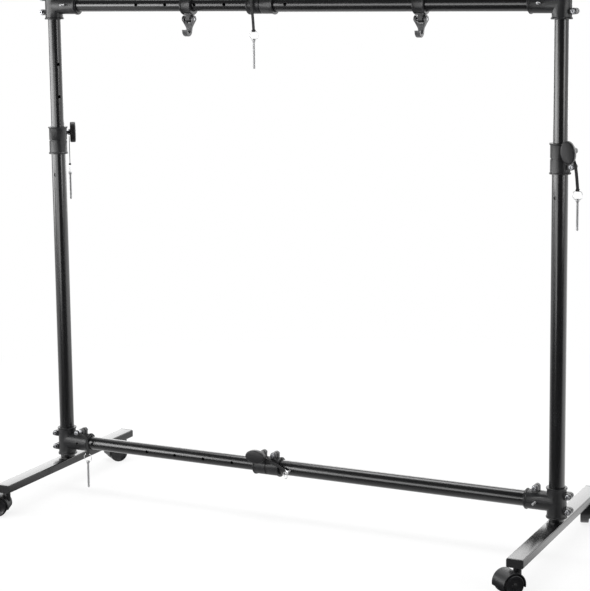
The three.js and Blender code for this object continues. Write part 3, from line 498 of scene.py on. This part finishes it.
def moulding(name, rgb, gloss, depth):
    """Moulded black plastic with a fine spark texture and faint handling marks."""
    plastic = Finish(name, rgb, **{"IOR": 1.46})
    spark = plastic.noise(1900, 2.0, 0.7)
    marks = plastic.between(plastic.noise(120, 4.0, 0.6, (1, 1, 0.4)), 0.55, 0.75)
    pale = marks * 0.6 + spark * 0.2
    plastic.feed("Base Color", plastic.mix(pale, plastic.shade(0.85), plastic.shade(1.9)))
    plastic.feed("Roughness", spark * 0.12 + marks * -0.08 + gloss)
    plastic.bump(spark, depth)
    return plastic.material


def strap_weave(rgb):
    """Flexible strap: fine cross ribs and a soft dull surface."""
    strap = Finish("strap", rgb, **{"IOR": 1.45})
    ribs = strap.noise(900, 1.0, 0.4, (0.4, 0.4, 1.6))
    haze = strap.noise(160, 3.0)
    strap.feed("Base Color", strap.mix(haze, strap.shade(0.8), strap.shade(1.8)))
    strap.feed("Roughness", haze * 0.2 + 0.55)
    strap.bump(ribs, 0.1 * MM)
    return strap.material


def plating(name, rgb, gloss):
    """Zinc plating with fine scratches and a slightly uneven gloss."""
    plate = Finish(name, rgb, **{"Metallic": 1.0})
    scratch = plate.noise(1400, 3.0, 0.6, (1, 1, 0.1))
    bloom = plate.noise(260, 3.0)
    plate.feed("Base Color", plate.mix(bloom, plate.shade(0.78), plate.shade(1.2)))
    plate.feed("Roughness", scratch * 0.16 + bloom * 0.1 + gloss)
    plate.bump(scratch, 0.02 * MM)
    return plate.material


class GONGSTAND_OT_finishes(bpy.types.Operator):
    """Makes the materials and puts them on the CAD nodes"""

    bl_idname = "gongstand.finishes"
    bl_label = "Finishes"

    def execute(self, context):
        chosen = context.scene.gong_finishes
        finishes["black_tube"] = tube_coat("tube_coat", chosen.tube_coat, 1.55, 0.35, 1.0)
        finishes["foot"] = tube_coat("foot_coat", chosen.tube_coat, 1.517, 0.12, 0.2)
        finishes["cast_clamp"] = casting_coat("casting_coat", chosen.casting_coat)
        finishes["hook"] = casting_coat("hook_coat", chosen.hook_coat)
        finishes["black_plastic"] = moulding("moulding", chosen.moulding, 0.34, 0.012 * MM)
        finishes["wheel"] = moulding("wheel", chosen.tread, 0.3, 0.008 * MM)
        finishes["strap"] = strap_weave(chosen.strap)
        finishes["chrome"] = plating("plating", chosen.plating, 0.24)
        finishes["pin"] = plating("pin_plating", chosen.pin_plating, 0.52)
        finishes["ring"] = plating("ring_plating", chosen.ring_plating, 0.34)
        for row in frame["record"]["subparts"]:
            node = frame["nodes"][row["node"]]
            node.data.materials.clear()
            node.data.materials.append(finishes[row["material_slot"]])
        return {"FINISHED"}


# Tubes and feet

foot_edge, cap_edge = 0.3 * MM, 0.9 * MM  # roundings
tube_wall = 1.5 * MM
pin_hole_radius = 3.7 * MM
hole_pitch = 85.3 * MM
upright_top_hole = 1149.3 * MM  # height of the highest of the upper uprights' holes
upright_holes = 4
lower_upright_hole = 857 * MM  # height of the lower uprights' only hole
upper_hole_turn = {"left": 58, "right": 107}  # degrees from Y
lower_hole_turn = {"left": 0, "right": -18}
clamp_pin_hole = 46 * MM  # from an upright's axis, in the bars and their clamps
first_bar_hole = -430.7 * MM  # from the stand's middle, in the inner bars
upper_bar_holes = 6
lower_bar_holes = 4  # and a slot for the pushed-in pin takes the place of the others
lock_slot = (-96 * MM, 174 * MM)  # from the stand's middle
lock_hole = -4.2 * MM  # from the stand's middle, in the outer bars


def turned_from_y(degrees):
    """The way of a hole through an upright."""
    turn = math.radians(degrees)
    return np.array([-math.sin(turn), math.cos(turn), 0])


def tube(node, axis, holes, slots=()):
    """A hollow tube with rounded ends, its profile going up the outside and down the bore, and its holes."""
    low, high = corners(node)
    along = int(np.argmax(axis))
    radius = (high - low)[(along + 1) % 3] / 2
    bore = radius - tube_wall
    half = (high - low)[along] / 2
    rows = [(bore, 0), (bore, -half), (radius, -half), (radius, half), (bore, half), (bore, 0)]
    shell = set_at(lathe(rounded(rows, 0.4 * MM, 3), 96), middle(node), axis)
    coat, body = finishes["black_tube"], node_body[node]
    obj = piece(node + "_tube", [shell], coat, body, (node,))
    off_axis = middle(node) * (1 - axis)
    drills = [set_at(drill(pin_hole_radius, radius), off_axis + at * axis, way) for at, way in holes]
    drilled(obj, [*drills, *slots])


class GONGSTAND_OT_tubes(bpy.types.Operator):
    """Makes the uprights and crossbars with their rows of pin holes"""

    bl_idname = "gongstand.tubes"
    bl_label = "Tubes"

    def execute(self, context):
        for side in SIDES:
            way = turned_from_y(upper_hole_turn[side])
            row = [(upright_top_hole - k * hole_pitch, way) for k in range(upright_holes)]
            tube("upright_upper_" + side, Z, row)
            tube("upright_lower_" + side, Z, [(lower_upright_hole, turned_from_y(lower_hole_turn[side]))])
        left, right = (upright[side][0] for side in SIDES)
        centre = (left + right) / 2
        clamp_hole = (left + clamp_pin_hole, Y)
        row = [(centre + first_bar_hole + k * hole_pitch, Y) for k in range(upper_bar_holes)]
        tube("bar_upper_inner", X, [clamp_hole, *row])
        tube("bar_lower_inner", X, [clamp_hole, *row[:lower_bar_holes]], [self.slot(centre)])
        for level in LEVELS:
            tube(f"bar_{level}_outer", X, [(right - clamp_pin_hole, Y), (centre + lock_hole, Y)])
        return {"FINISHED"}

    def slot(self, centre):
        low, high = lock_slot
        place = np.array([centre + (low + high) / 2, bar_y, bar_height["lower"]])
        return slot_cutter(place, (high - low) / 2 - pin_hole_radius, pin_hole_radius, 25 * MM)


class GONGSTAND_OT_feet(bpy.types.Operator):
    """Makes the box-tube feet and their end caps with soft edges"""

    bl_idname = "gongstand.feet"
    bl_label = "Feet"

    def execute(self, context):
        for side in SIDES:
            softened("foot_" + side, finishes["foot"], foot_edge)
            for end in ("front", "back"):
                cap = f"foot_cap_{end}_{side}"
                softened(cap, finishes["black_plastic"], cap_edge, 3)
        return {"FINISHED"}


# Clamps and their fasteners

# A lug's boss: radius and place along the bar from the pivot, in millimetres
lug_boss = [(0, -5.2), (8.45, -5.2), (8.45, 6.6), (6.2, 9.9), (0, 9.9)]

# A lug's neck: height over the pivot, its two ends along the bar and half its depth, in millimetres
lug_neck = [
    (0, -4.6, 9.6, 7.6),
    (9.6, -4.9, 9.9, 7.8),
    (10.2, -5.5, 10.3, 7.9),
    (10.3, -14, 14, 8.2),
    (18, -14, 14, 8.6),
]


class GONGSTAND_OT_castings(bpy.types.Operator):
    """Rounds the edges of the T-clamps, collars, hanger clamps and hooks"""

    bl_idname = "gongstand.castings"
    bl_label = "Castings"

    def execute(self, context):
        edge = context.scene.gong_sizes.casting_edge
        for name in sorted(frame["nodes"]):
            if name.startswith(("t_clamp", "collar", "hanger_clamp", "hanger_hook")):
                finish = "hook" if name.startswith("hanger_hook") else "cast_clamp"
                softened(name, finishes[finish], edge)
        for side in SIDES:
            self.lug(side)
        return {"FINISHED"}

    def lug(self, side):
        """A hanger's lug: a boss turned about the pivot, and a neck of superellipses under the clamp."""
        at = middle("hanger_pivot_" + side)
        sides = 32
        rows = []
        for height, start, end, deep in lug_neck:
            ring = superellipse((end - start) / 2, deep, 6.0, sides)
            rows.append(np.column_stack([ring + [(start + end) / 2, 0], np.full(sides, height)]) * MM)
        bottom, top = (np.tile(row.mean(axis=0), (sides, 1)) for row in (rows[0], rows[-1]))
        boss = lathe(rounded(lug_boss, 0.8) * MM, 64)
        made = [set_at(boss, at, X), set_at(grid(np.stack([bottom, *rows, top])), at)]
        body = node_body["hanger_clamp_" + side]
        piece("hanger_lug_" + side, made, finishes["cast_clamp"], body)


bolt_radius = 3 * MM
bolt_tail = 7.4 * MM  # of the rod past the ear
washer_radius, washer_thickness = 6.4 * MM, 1.1 * MM
nut_width, nut_height = 10 * MM, 4.6 * MM
pivot_radius = 3.3 * MM
pivot_spacer = (-10.2 * MM, -5.8 * MM)  # its ends along the bar


def hexagon(u, half_width):
    """A hexagon's radius at each angle: r = w / cos(v), with v the angle from the nearest flat's middle."""
    return half_width / np.cos((u + math.pi / 6) % (math.pi / 3) - math.pi / 6)


def shaped(u, rows):
    """A net of rows, each a radius for every angle u and a height: (r(u) cos u, r(u) sin u, h)."""
    return grid(np.stack([np.stack([r * np.cos(u), r * np.sin(u), h + 0 * u], axis=-1) for r, h in rows]))


def socket_head(sizes):
    """A cap screw's head on its seat at zero: turned up to the mouth of its hole, and six-sided below it."""
    r, tall = sizes.bolt_head / 2, sizes.bolt_head_height
    key = r * 0.5
    mouth = key * 1.15
    outside = lathe(rounded([(0, 0), (r, 0), (r, tall), (mouth, tall)], 0.7 * MM), 48)
    u = around(48)
    flats = hexagon(u, key)
    hole = [(mouth, tall), (flats, tall - 0.3 * MM), (flats, tall * 0.45), (0, tall * 0.4)]
    return [outside, shaped(u, hole)]


def hexagon_nut(across, tall):
    """A nut on its seat at zero: six flats, with their corners turned down at both faces."""
    u = around(60)
    flats = hexagon(u, across / 2)
    corner = 0.6 * MM
    turned_down = np.minimum(flats, across / 2 * 1.02)
    side = [(turned_down, 0), (flats, corner), (flats, tall - corner), (turned_down, tall)]
    return shaped(u, [(0, 0), *side, (0, tall)])


def washer(radius, thick):
    """A disc on its seat at zero, its profile's corners rounded."""
    return lathe(rounded([(0, 0), (radius, 0), (radius, thick), (0, thick)], 0.3 * MM, 2), 40)


def stacked(rows, start, way):
    """Washers and spacers on a screw, from (place along `way`, radius, thickness) in millimetres."""
    return [set_at(washer(r * MM, thick * MM), start + way * place * MM, way) for place, r, thick in rows]


def threaded_rod(radius, start, end, pitch=1.25 * MM):
    """A rod with rounded thread ridges: r(h) = radius - depth (0.5 - 0.5 cos(2 pi h / pitch))."""
    depth = 0.28 * MM
    h = np.arange(start, end, pitch / 6)
    r = radius - depth * (0.5 - 0.5 * np.cos(2 * math.pi * h / pitch))
    return lathe([(0, start), *zip(r, h), (radius * 0.8, end), (0, end)], 24)


def through_bolt(centre, way, sizes):
    """A bolt through a clamp's ears: its head is on the side that `way` points to and its nut on the other."""
    front, rear = centre + way * ear_half_depth, centre - way * ear_half_depth
    under = way * washer_thickness
    return [
        set_at(washer(washer_radius, washer_thickness), front, way),
        *(set_at(surface, front + under, way) for surface in socket_head(sizes)),
        set_at(threaded_rod(bolt_radius, 0, 2 * ear_half_depth), rear, way),
        set_at(washer(washer_radius, washer_thickness), rear, -way),
        set_at(hexagon_nut(nut_width, nut_height), rear - under, -way),
        set_at(threaded_rod(bolt_radius, 0, bolt_tail), rear, -way),
    ]


def collar_frame(name):
    """A collar's middle, the way its ears point, the way to its inner tube and the way its knob points."""
    place, which = name.split("_")
    if place == "upright":
        turn = left_collar_turn if which == "left" else 0.0
        ears, toward = np.array([math.cos(turn), math.sin(turn), 0]), Z
        at = upright[which] + Z * (corners("collar_" + name)[1][2] - collar_half_length)
    else:
        ears, toward = Z, -X
        at = np.array([middle("collar_" + name)[0], bar_y, bar_height[which]])
    return at, ears, toward, np.cross(ears, toward)


def knob_centre(name):
    """Where a collar's knob screw crosses the middle of its ears."""
    at, ears, toward = collar_frame(name)[:3]
    return at + ears * clamp_ears + toward * collar_half_pitch


class GONGSTAND_OT_bolts(bpy.types.Operator):
    """Puts the plated bolts, washers and nuts through the clamps' ears"""

    bl_idname = "gongstand.bolts"
    bl_label = "Bolts"

    def execute(self, context):
        sizes = context.scene.gong_sizes
        for side, inward in (("left", X), ("right", -X)):
            for level in LEVELS:
                at = upright[side] + Z * bar_height[level]
                places = [at - inward * clamp_ears + Z * z for z in (t_ears_height, -t_ears_height)]
                if (side, level) != ("left", "lower"):  # where the long bolt of a lanyard is
                    places.append(at + inward * t_arm_bolt + Z * clamp_ears)
                made = [surface for place in places for surface in through_bolt(place, -Y, sizes)]
                self.plated(f"bolts_t_{level}_{side}", made, f"t_clamp_{level}_{side}")
        for name in (*UPRIGHT_COLLARS, *BAR_COLLARS):
            at, ears, toward, way = collar_frame(name)
            place = at + ears * clamp_ears - toward * collar_half_pitch
            self.plated("bolt_collar_" + name, through_bolt(place, way, sizes), "collar_" + name)
        for side in SIDES:
            clamp = "hanger_clamp_" + side
            top = np.array([middle(clamp)[0], bar_y, bar_height["upper"] + clamp_ears])
            self.plated("bolt_hanger_" + side, through_bolt(top, -Y, sizes), clamp)
            pivot = "hanger_pivot_" + side
            self.plated(pivot + "_dressed", [self.pivot(pivot)], clamp, (pivot,))
        return {"FINISHED"}

    def plated(self, name, made, node, stands_for=()):
        """A plated piece that rides on the body of a CAD node."""
        piece(name, made, finishes["chrome"], node_body[node], stands_for)

    def pivot(self, node):
        """A hook's pivot: a pin with rounded ends and its spacer, turned as one profile along the bar's way."""
        low, high = corners(node)
        half, spacer = (high - low)[0] / 2, (high - low)[2] / 2
        start, end = pivot_spacer
        rows = [(0, -half), (pivot_radius, -half), (pivot_radius, start), (spacer, start)]
        rows += [(spacer, end), (pivot_radius, end), (pivot_radius, half), (0, half)]
        return set_at(lathe(rounded(rows, 0.6 * MM), 40), middle(node), X)


# Hand knobs, with places along their screws from the middle of the ears

knob_turns = {"upright_left": -3, "upright_right": 9, "bar_lower": -3, "bar_upper": -3}  # degrees
knob_back, knob_front = 31.2 * MM, 46 * MM
knob_crown = 0.9 * MM
knob_hub = [(0, 29.9), (8.2, 29.9), (9.6, 31.6), (0, 31.6)]  # radius and place, in millimetres
knob_screw_radius = 3.9 * MM
knob_screw_ends = (-15.5 * MM, 30 * MM)
knob_nut_width, knob_nut_height = 13 * MM, 3 * MM
ear_face = 12.3 * MM

# Washers and spacers from the ears to the knob: place, radius and thickness, in millimetres
knob_stack = [(0, 7, 1.4), (1.6, 6.2, 4.2), (6, 7, 1.2), (7.4, 6.2, 6.4), (14, 7.2, 1.1)]


class GONGSTAND_OT_knobs(bpy.types.Operator):
    """Makes the four oval hand knobs with their hubs and plated screws"""

    bl_idname = "gongstand.knobs"
    bl_label = "Hand knobs"

    def execute(self, context):
        sizes = context.scene.gong_sizes
        for name, turn in knob_turns.items():
            ears, toward, way = collar_frame(name)[1:]
            angle = math.radians(turn)
            long_axis = toward * math.cos(angle) - ears * math.sin(angle)
            centre, node = knob_centre(name), "knob_" + name
            made = self.grip(centre, way, np.cross(long_axis, way), sizes)
            plastic = finishes["black_plastic"]
            piece("knob_grip_" + name, made, plastic, node_body[node], (node,))
            made = self.screw(centre, way)
            piece("knob_screw_" + name, made, finishes["chrome"], node_body[node])
        return {"FINISHED"}

    def grip(self, centre, way, short_axis, sizes):
        """An oval slab with round edges, a crown whose height falls as 1 - s^2, and a hub behind it."""
        edge = sizes.knob_edge
        arc = np.linspace(0, math.pi / 2, 7)
        rows = [(0, 0, knob_back), (0.6, 0, knob_back)]
        rows += [(1, edge * (1 - math.sin(t)), knob_back + edge * (1 - math.cos(t))) for t in arc]
        rows += [(1, edge * (1 - math.cos(t)), knob_front - edge * (1 - math.sin(t))) for t in arc]
        rows += [(s, edge, knob_front + knob_crown * (1 - s * s)) for s in (0.85, 0.65, 0.4, 0.2, 0)]
        plate = oval_plate(sizes.knob_width / 2, sizes.knob_length / 2, rows)
        hub = lathe(rounded(knob_hub, 0.5, 2) * MM, 48)
        return [set_at(surface, centre, way, short_axis) for surface in (plate, hub)]

    def screw(self, centre, way):
        """A threaded rod with the washers and spacers in front of the ears and a thin nut behind them."""
        return [
            set_at(threaded_rod(knob_screw_radius, *knob_screw_ends), centre, way),
            *stacked(knob_stack, centre + way * ear_face, way),
            set_at(hexagon_nut(knob_nut_width, knob_nut_height), centre - way * ear_face, -way),
        ]


# Casters

caster_edge = 0.8 * MM

# A wheel from the axle out: radius and distance from the middle of the two wheels, in millimetres
wheel_rows = [
    (0, 24.6), (5.4, 24.6), (6.4, 24), (7, 22.9),  # hub
    (9, 22.7), (18.2, 22.9), (19.4, 23.8), (20.2, 24.8),  # dished web
    (22.4, 25), (23.8, 24.4), (24.7, 23.2), (25, 21.6),  # rim
    (25, 7.4), (24.6, 5.6), (23.4, 4.2), (21.6, 3.6), (4.2, 3.6),  # tread and inner face
]


class GONGSTAND_OT_casters(bpy.types.Operator):
    """Makes the twin wheels and softens the caster hoods"""

    bl_idname = "gongstand.casters"
    bl_label = "Casters"

    def execute(self, context):
        for joint in frame["joints"]:
            if joint["name"].startswith("roll_"):
                corner = joint["name"][len("roll_"):]
                self.wheels(corner, np.array(joint["pos_m"]), np.array(joint["axis"]))
                softened("caster_body_" + corner, finishes["wheel"], caster_edge, 3)
        return {"FINISHED"}

    def wheels(self, corner, centre, axle):
        """Two wheels turned as one: a wheel's profile mirrored, and the profile itself."""
        half = np.array(wheel_rows) * MM
        pair = lathe(np.concatenate([half * [1, -1], half[::-1]]), 72)
        node = "caster_wheels_" + corner
        made = [set_at(pair, centre, axle)]
        piece("wheels_" + corner, made, finishes["wheel"], node_body[node], (node,), 50)


# Locking pins, rings and lanyards

pin_eye = 3.3 * MM  # from the end of a pin's head to its ring
ring_radius = 11.5 * MM
strap_start = 3  # steps of a route under its eyelet
long_bolt_reach = 33 * MM  # from the middle of the ears

# Profiles and spacers, in millimetres: radius and height, and for the stack place, radius and thickness
pin_rows = [
    (0, -74), (1.3, -74), (2.7, -72.4), (2.8, -72),  # tip
    (2.8, -66.2), (2.4, -65.6), (2.4, -63.8), (2.8, -63.2),  # retaining groove
    (2.8, -9), (3.2, -7.9), (4.5, -5.2), (4.6, -4.2), (4.6, -0.7), (4.1, 0), (0, 0),  # head
]
eyelet_rows = [(4.4, -0.95), (8, -0.95), (8, 0.95), (4.4, 0.95), (4.4, -0.95)]
barrel_rows = [(0, -4.4), (3.1, -4.4), (3.1, 4.4), (0, 4.4)]
long_bolt_stack = [(12.3, 6.4, 1.2), (13.6, 5.6, 6.4), (20.2, 5.6, 6.8), (29.9, 5.6, 4)]

# The straps' routes from their eyelets: along the eyelet's own X and up, in millimetres
strap_routes = {
    "bar_upper": [(0, 0), (-2, -32), (-5, -64), (-7, -95.5)],
    "upright_left": [(0, 0), (0, -30), (0, -60), (0, -86.5)],
    "upright_right": [(0, 0), (-11, -21), (-16, -45), (-20, -86.5)],
    "lower_left": [(0, 0), (-20, -6), (-29, -16), (-32, -31), (-32.5, -53)],
    "bar_lower": [(0, 0), (-28, -10), (-55, -19), (-76.5, -29.5)],
}


def smooth_route(points, steps=8):
    """A Catmull-Rom route: each span is a cubic in t whose slope at a point follows its two neighbours."""
    p = np.asarray(points, float)
    p = np.concatenate([2 * p[:1] - p[1:2], p, 2 * p[-1:] - p[-2:-1]])
    t = np.linspace(0, 1, steps, endpoint=False)[:, None]
    spans = [
        0.5 * (2 * b + (c - a) * t + (2 * a - 5 * b + 4 * c - d) * t**2 + (3 * b - a - 3 * c + d) * t**3)
        for a, b, c, d in zip(p[:-3], p[1:-2], p[2:-1], p[3:])
    ]
    return np.concatenate([*spans, p[-2:-1]])


def eyelet_frame(name):
    """Where a lanyard's eyelet sits, the way its own X points and the way its own Y points."""
    if name == "lower_left":
        bolt = upright["left"] + X * t_arm_bolt + Z * (bar_height["lower"] + clamp_ears)
        return bolt - Y * strap_plane, -X, -Y
    ears, toward, way = collar_frame(name)[1:]
    return knob_centre(name) + way * strap_plane, -ears if name in UPRIGHT_COLLARS else toward, way


def pin_head(name, way):
    """The middle of the end of a pin's box that `way` starts from."""
    low, high = corners("pin_" + name)
    return (low + high - way * (high - low)) / 2


class GONGSTAND_OT_lanyards(bpy.types.Operator):
    """Makes the locking pins, their rings and the straps that hold them"""

    bl_idname = "gongstand.lanyards"
    bl_label = "Pins and lanyards"

    def execute(self, context):
        sizes = context.scene.gong_sizes
        for name in ("upper_left", "upper_right", "lower_right"):
            self.pin(name, -Y, finishes["pin"])
        for name, route in strap_routes.items():
            self.lanyard(name, np.array(route) * MM, sizes)
        self.long_bolt(sizes)
        return {"FINISHED"}

    def lanyard(self, name, route, sizes):
        """A strap, its eyelet, and the barrel at its end that holds the ring of a locking pin."""
        at, own_x, own_y = eyelet_frame(name)
        line = smooth_route(route)
        path = at + line[:, :1] * own_x + line[:, 1:] * Z
        keep, end = path[strap_start:], path[-1]
        node, ring_node = "lanyard_" + name, "lanyard_ring_" + name
        body = node_body[node]
        section = superellipse(sizes.strap_width / 2, sizes.strap_thickness / 2, 4.0, 24)
        made = [swept(keep, section, np.cross(own_y, end - path[0]))]
        strap = piece("strap_" + name, made, finishes["strap"], body, (node,))
        ring_middle = middle(ring_node)
        to_end = end - ring_middle
        normal = np.cross(Z, own_x)
        pin_way, pin_finish = -Z, "pin"
        if name == "bar_lower":  # its pin is in the bar, and the ring lies between pin and strap
            pin_way, pin_finish = Y, "ring"
            eye = pin_head(name, pin_way) + pin_way * pin_eye
            normal = np.cross(to_end, eye - ring_middle)
        eyelet = set_at(lathe(rounded(eyelet_rows, 0.4, 2) * MM, 40), at, own_y)
        barrel = set_at(lathe(rounded(barrel_rows, 0.7, 3) * MM, 32), end, np.cross(normal, to_end))
        ends = piece("strap_ends_" + name, [eyelet, barrel], finishes["strap"], body)
        made = [set_at(ring_surface(ring_radius, sizes.ring_wire / 2), ring_middle, normal)]
        ring = piece("ring_" + name, made, finishes["ring"], body, (ring_node,))
        pin = self.pin(name, pin_way, finishes[pin_finish])

    def pin(self, name, way, finish):
        """A locking pin along `way` from its head, turned as one profile."""
        node = "pin_" + name
        made = [set_at(lathe(np.array(pin_rows) * MM, 32), pin_head(name, way), -way)]
        return piece("pin_dressed_" + name, made, finish, node_body[node], (node,))

    def long_bolt(self, sizes):
        """The bolt over the lower left arm, with spacers beside the strap's eyelet."""
        node = "lanyard_bolt_lower_left"
        centre = middle(node) * [1, 0, 1] + Y * bar_y
        made = through_bolt(centre, Y, sizes)
        made.append(set_at(threaded_rod(bolt_radius, 0, long_bolt_reach), centre, -Y))
        made += stacked(long_bolt_stack, centre, -Y)
        piece("lanyard_bolt_dressed", made, finishes["chrome"], node_body[node], (node,))


# The stage

camera_place = np.array([1.8851, -3.8068, 1.3646])  # metres from the middle between the uprights
camera_yaw, camera_pitch, camera_roll = 0.4582, 0.142, -0.0115  # radians
camera_shift = -0.1201  # upwards, as a share of the frame
floor_reach = 40.0  # metres

# The soft boxes: place, width and height, and the point that each faces, in metres
soft_boxes = {
    "left": ((-3.1, -1.8, 1.2), (3.4, 1.4), (0, 0, 1.2)),
    "front": ((-1.25, -2.9, 0.66), (2.7, 1.3), (-1.1, 0, 0.66)),
    "right": ((3.5, -0.95, 1.35), (1.3, 1.2), (0.7, 0, 1.35)),
    "top": ((0, 0.6, 3.3), (3.6, 1.4), (0, 0.5, 0)),
    "back": ((-0.8, 4.2, 1.5), (6.5, 1.9), (0, 0, 0.3)),
}


class GONGSTAND_OT_stage(bpy.types.Operator):
    """Sets the pale floor, the soft light and the camera"""

    bl_idname = "gongstand.stage"
    bl_label = "Stage"

    def execute(self, context):
        stage = context.scene.gong_stage
        self.floor(stage.floor)
        self.room(stage.room)
        for name, row in soft_boxes.items():
            self.soft_box(name, *row, getattr(stage, name + "_power"))
        self.camera(stage.lens)
        context.scene.view_settings.view_transform = "Standard"
        return {"FINISHED"}

    def floor(self, rgb):
        """White to the camera and plain to light. Glossy rays see a painted reflection: dark in front and
        brightest at the right, which is painted light.
        """
        square = floor_reach * np.array([[(-1, -1, 0), (1, -1, 0)], [(-1, 1, 0), (1, 1, 0)]])
        points, faces = grid(square, closed=False)
        mesh = bpy.data.meshes.new("floor")
        mesh.from_pydata(points.tolist(), [], faces.tolist())
        obj = linked("floor", mesh)
        material = bpy.data.materials.new("floor")
        material.use_nodes = True
        material.node_tree.nodes.clear()
        nodes = Nodes(material.node_tree)
        place = nodes.node("ShaderNodeTexCoord", {}, {}, "Object")
        across, along = (nodes.node("ShaderNodeSeparateXYZ", {}, {0: place}, k) for k in (0, 1))
        left = across * -0.93 + along * 0.37 - 0.75  # metres past a slanting line at the stand's left
        # painted reflection mask: 1 behind the stand and past the slanting line at its left, 0 in front where
        # painted shade stands
        painted_bright_mask = nodes.between(left.at_least(along + 0.3), 0.0, 0.4)
        # painted light of the right box: the floor's reflected image grows brighter than white towards the
        # right
        right = nodes.between(across, 0.3, 0.9)
        painted_right_light = nodes.mix(right, (0.8, 0.8, 0.8, 1), (1.5, 1.5, 1.5, 1))
        mirrored = nodes.mix(painted_bright_mask, (0.03, 0.03, 0.03, 1), painted_right_light)
        plain = nodes.node("ShaderNodeBsdfDiffuse", {}, {"Color": (*rgb, 1)})
        white = nodes.node("ShaderNodeEmission", {}, {"Strength": 1.0})
        # the floor glows with this painted reflection, though it is no lamp, and only glossy rays see it
        painted_reflection = nodes.node("ShaderNodeEmission", {}, {"Color": mirrored, "Strength": 1.0})
        near = nodes.node("ShaderNodeVectorMath", {"operation": "LENGTH"}, {0: place}, "Value")
        share = nodes.between(near, 1.0, 2.2, 0.8, 1.0)
        seen = nodes.ray("Is Camera Ray") * share
        shown = nodes.node("ShaderNodeMixShader", {}, {0: seen, 1: plain, 2: white})
        whole = nodes.node("ShaderNodeMixShader", {}, {0: nodes.ray("Is Glossy Ray"), 1: shown, 2: painted_reflection})
        output = material.node_tree.nodes.new("ShaderNodeOutputMaterial")
        material.node_tree.links.new(whole.socket, output.inputs["Surface"])
        mesh.materials.append(material)

    def room(self, strength):
        """White to the camera, like the floor, and in reflections bright behind the stand, dark in front."""
        world = bpy.data.worlds.new("room")
        bpy.context.scene.world = world
        world.use_nodes = True
        nodes = Nodes(world.node_tree)
        way = nodes.node("ShaderNodeTexCoord", {}, {}, "Generated")
        along = nodes.node("ShaderNodeSeparateXYZ", {}, {0: way}, 1)
        mirrored = nodes.between(along, -0.2, 0.3, 0.04, 1.0)
        glossy = nodes.ray("Is Glossy Ray")
        shown = nodes.ray("Is Camera Ray").at_least(nodes.ray("Is Transmission Ray"))
        level = shown + glossy * mirrored + (1 - shown - glossy) * strength
        background = world.node_tree.nodes["Background"]
        background.inputs["Color"].default_value = (1, 1, 1, 1)
        world.node_tree.links.new(level.socket, background.inputs["Strength"])

    def soft_box(self, name, place, reach, target, watts):
        light = bpy.data.lights.new(name, "AREA")
        light.shape = "RECTANGLE"
        light.size, light.size_y = reach
        light.energy = watts
        obj = linked(name, light)
        obj.visible_camera = False
        self.put(obj, place, *self.axes(np.subtract(target, place)))

    def axes(self, toward):
        """Right, up and back of something that looks along `toward`."""
        back = -np.asarray(toward, float) / np.linalg.norm(toward)
        right = np.cross(Z, back)
        right /= np.linalg.norm(right)
        return right, np.cross(back, right), back

    def put(self, obj, place, right, up, back):
        """Puts a lamp or the camera at a place, its own axes turned to the given ways."""
        turn = Matrix(np.stack([right, up, back], axis=1).tolist()).to_4x4()
        obj.matrix_world = Matrix.Translation(place) @ turn

    def camera(self, lens):
        """Looks along (-sin yaw cos pitch, cos yaw cos pitch, -sin pitch), leaning by the roll."""
        data = bpy.data.cameras.new("camera")
        data.lens = lens
        data.sensor_width = 36.0
        data.shift_y = camera_shift
        data.clip_end = 200.0
        obj = linked("camera", data)
        level = math.cos(camera_pitch)
        toward = (-math.sin(camera_yaw) * level, math.cos(camera_yaw) * level, -math.sin(camera_pitch))
        right, up, back = self.axes(toward)
        c, s = math.cos(camera_roll), math.sin(camera_roll)
        place = (upright["left"] + upright["right"]) / 2 + camera_place
        self.put(obj, place, right * c + up * s, up * c - right * s, back)
        bpy.context.scene.camera = obj


class GONGSTAND_PT_panel(bpy.types.Panel):
    """Lists the steps in their order, and the colours and sizes"""

    bl_idname = "GONGSTAND_PT_panel"
    bl_label = "Gong Stand"
    bl_space_type = "VIEW_3D"
    bl_region_type = "UI"
    bl_category = "Gong Stand"

    def draw(self, context):
        for step in steps:
            self.layout.operator(step.bl_idname)
        for group in (context.scene.gong_finishes, context.scene.gong_sizes, context.scene.gong_stage):
            box = self.layout.box()
            for name in group.__annotations__:
                box.prop(group, name)


groups = {"gong_finishes": GongStandFinishes, "gong_sizes": GongStandSizes, "gong_stage": GongStandStage}
steps = (
    GONGSTAND_OT_stage,
    GONGSTAND_OT_finishes,
    GONGSTAND_OT_tubes,
    GONGSTAND_OT_feet,
    GONGSTAND_OT_castings,
    GONGSTAND_OT_bolts,
    GONGSTAND_OT_knobs,
    GONGSTAND_OT_casters,
    GONGSTAND_OT_lanyards,
)


def register():
    for made in (*groups.values(), *steps, GONGSTAND_PT_panel):
        bpy.utils.register_class(made)
    for name, group in groups.items():
        setattr(bpy.types.Scene, name, PointerProperty(type=group))


def unregister():
    for name in groups:
        delattr(bpy.types.Scene, name)
    for made in reversed((*groups.values(), *steps, GONGSTAND_PT_panel)):
        bpy.utils.unregister_class(made)


def main():
    register()
    for step in steps:
        package, action = step.bl_idname.split(".")
        getattr(getattr(bpy.ops, package), action)()


if __name__ == "__main__":
    main()
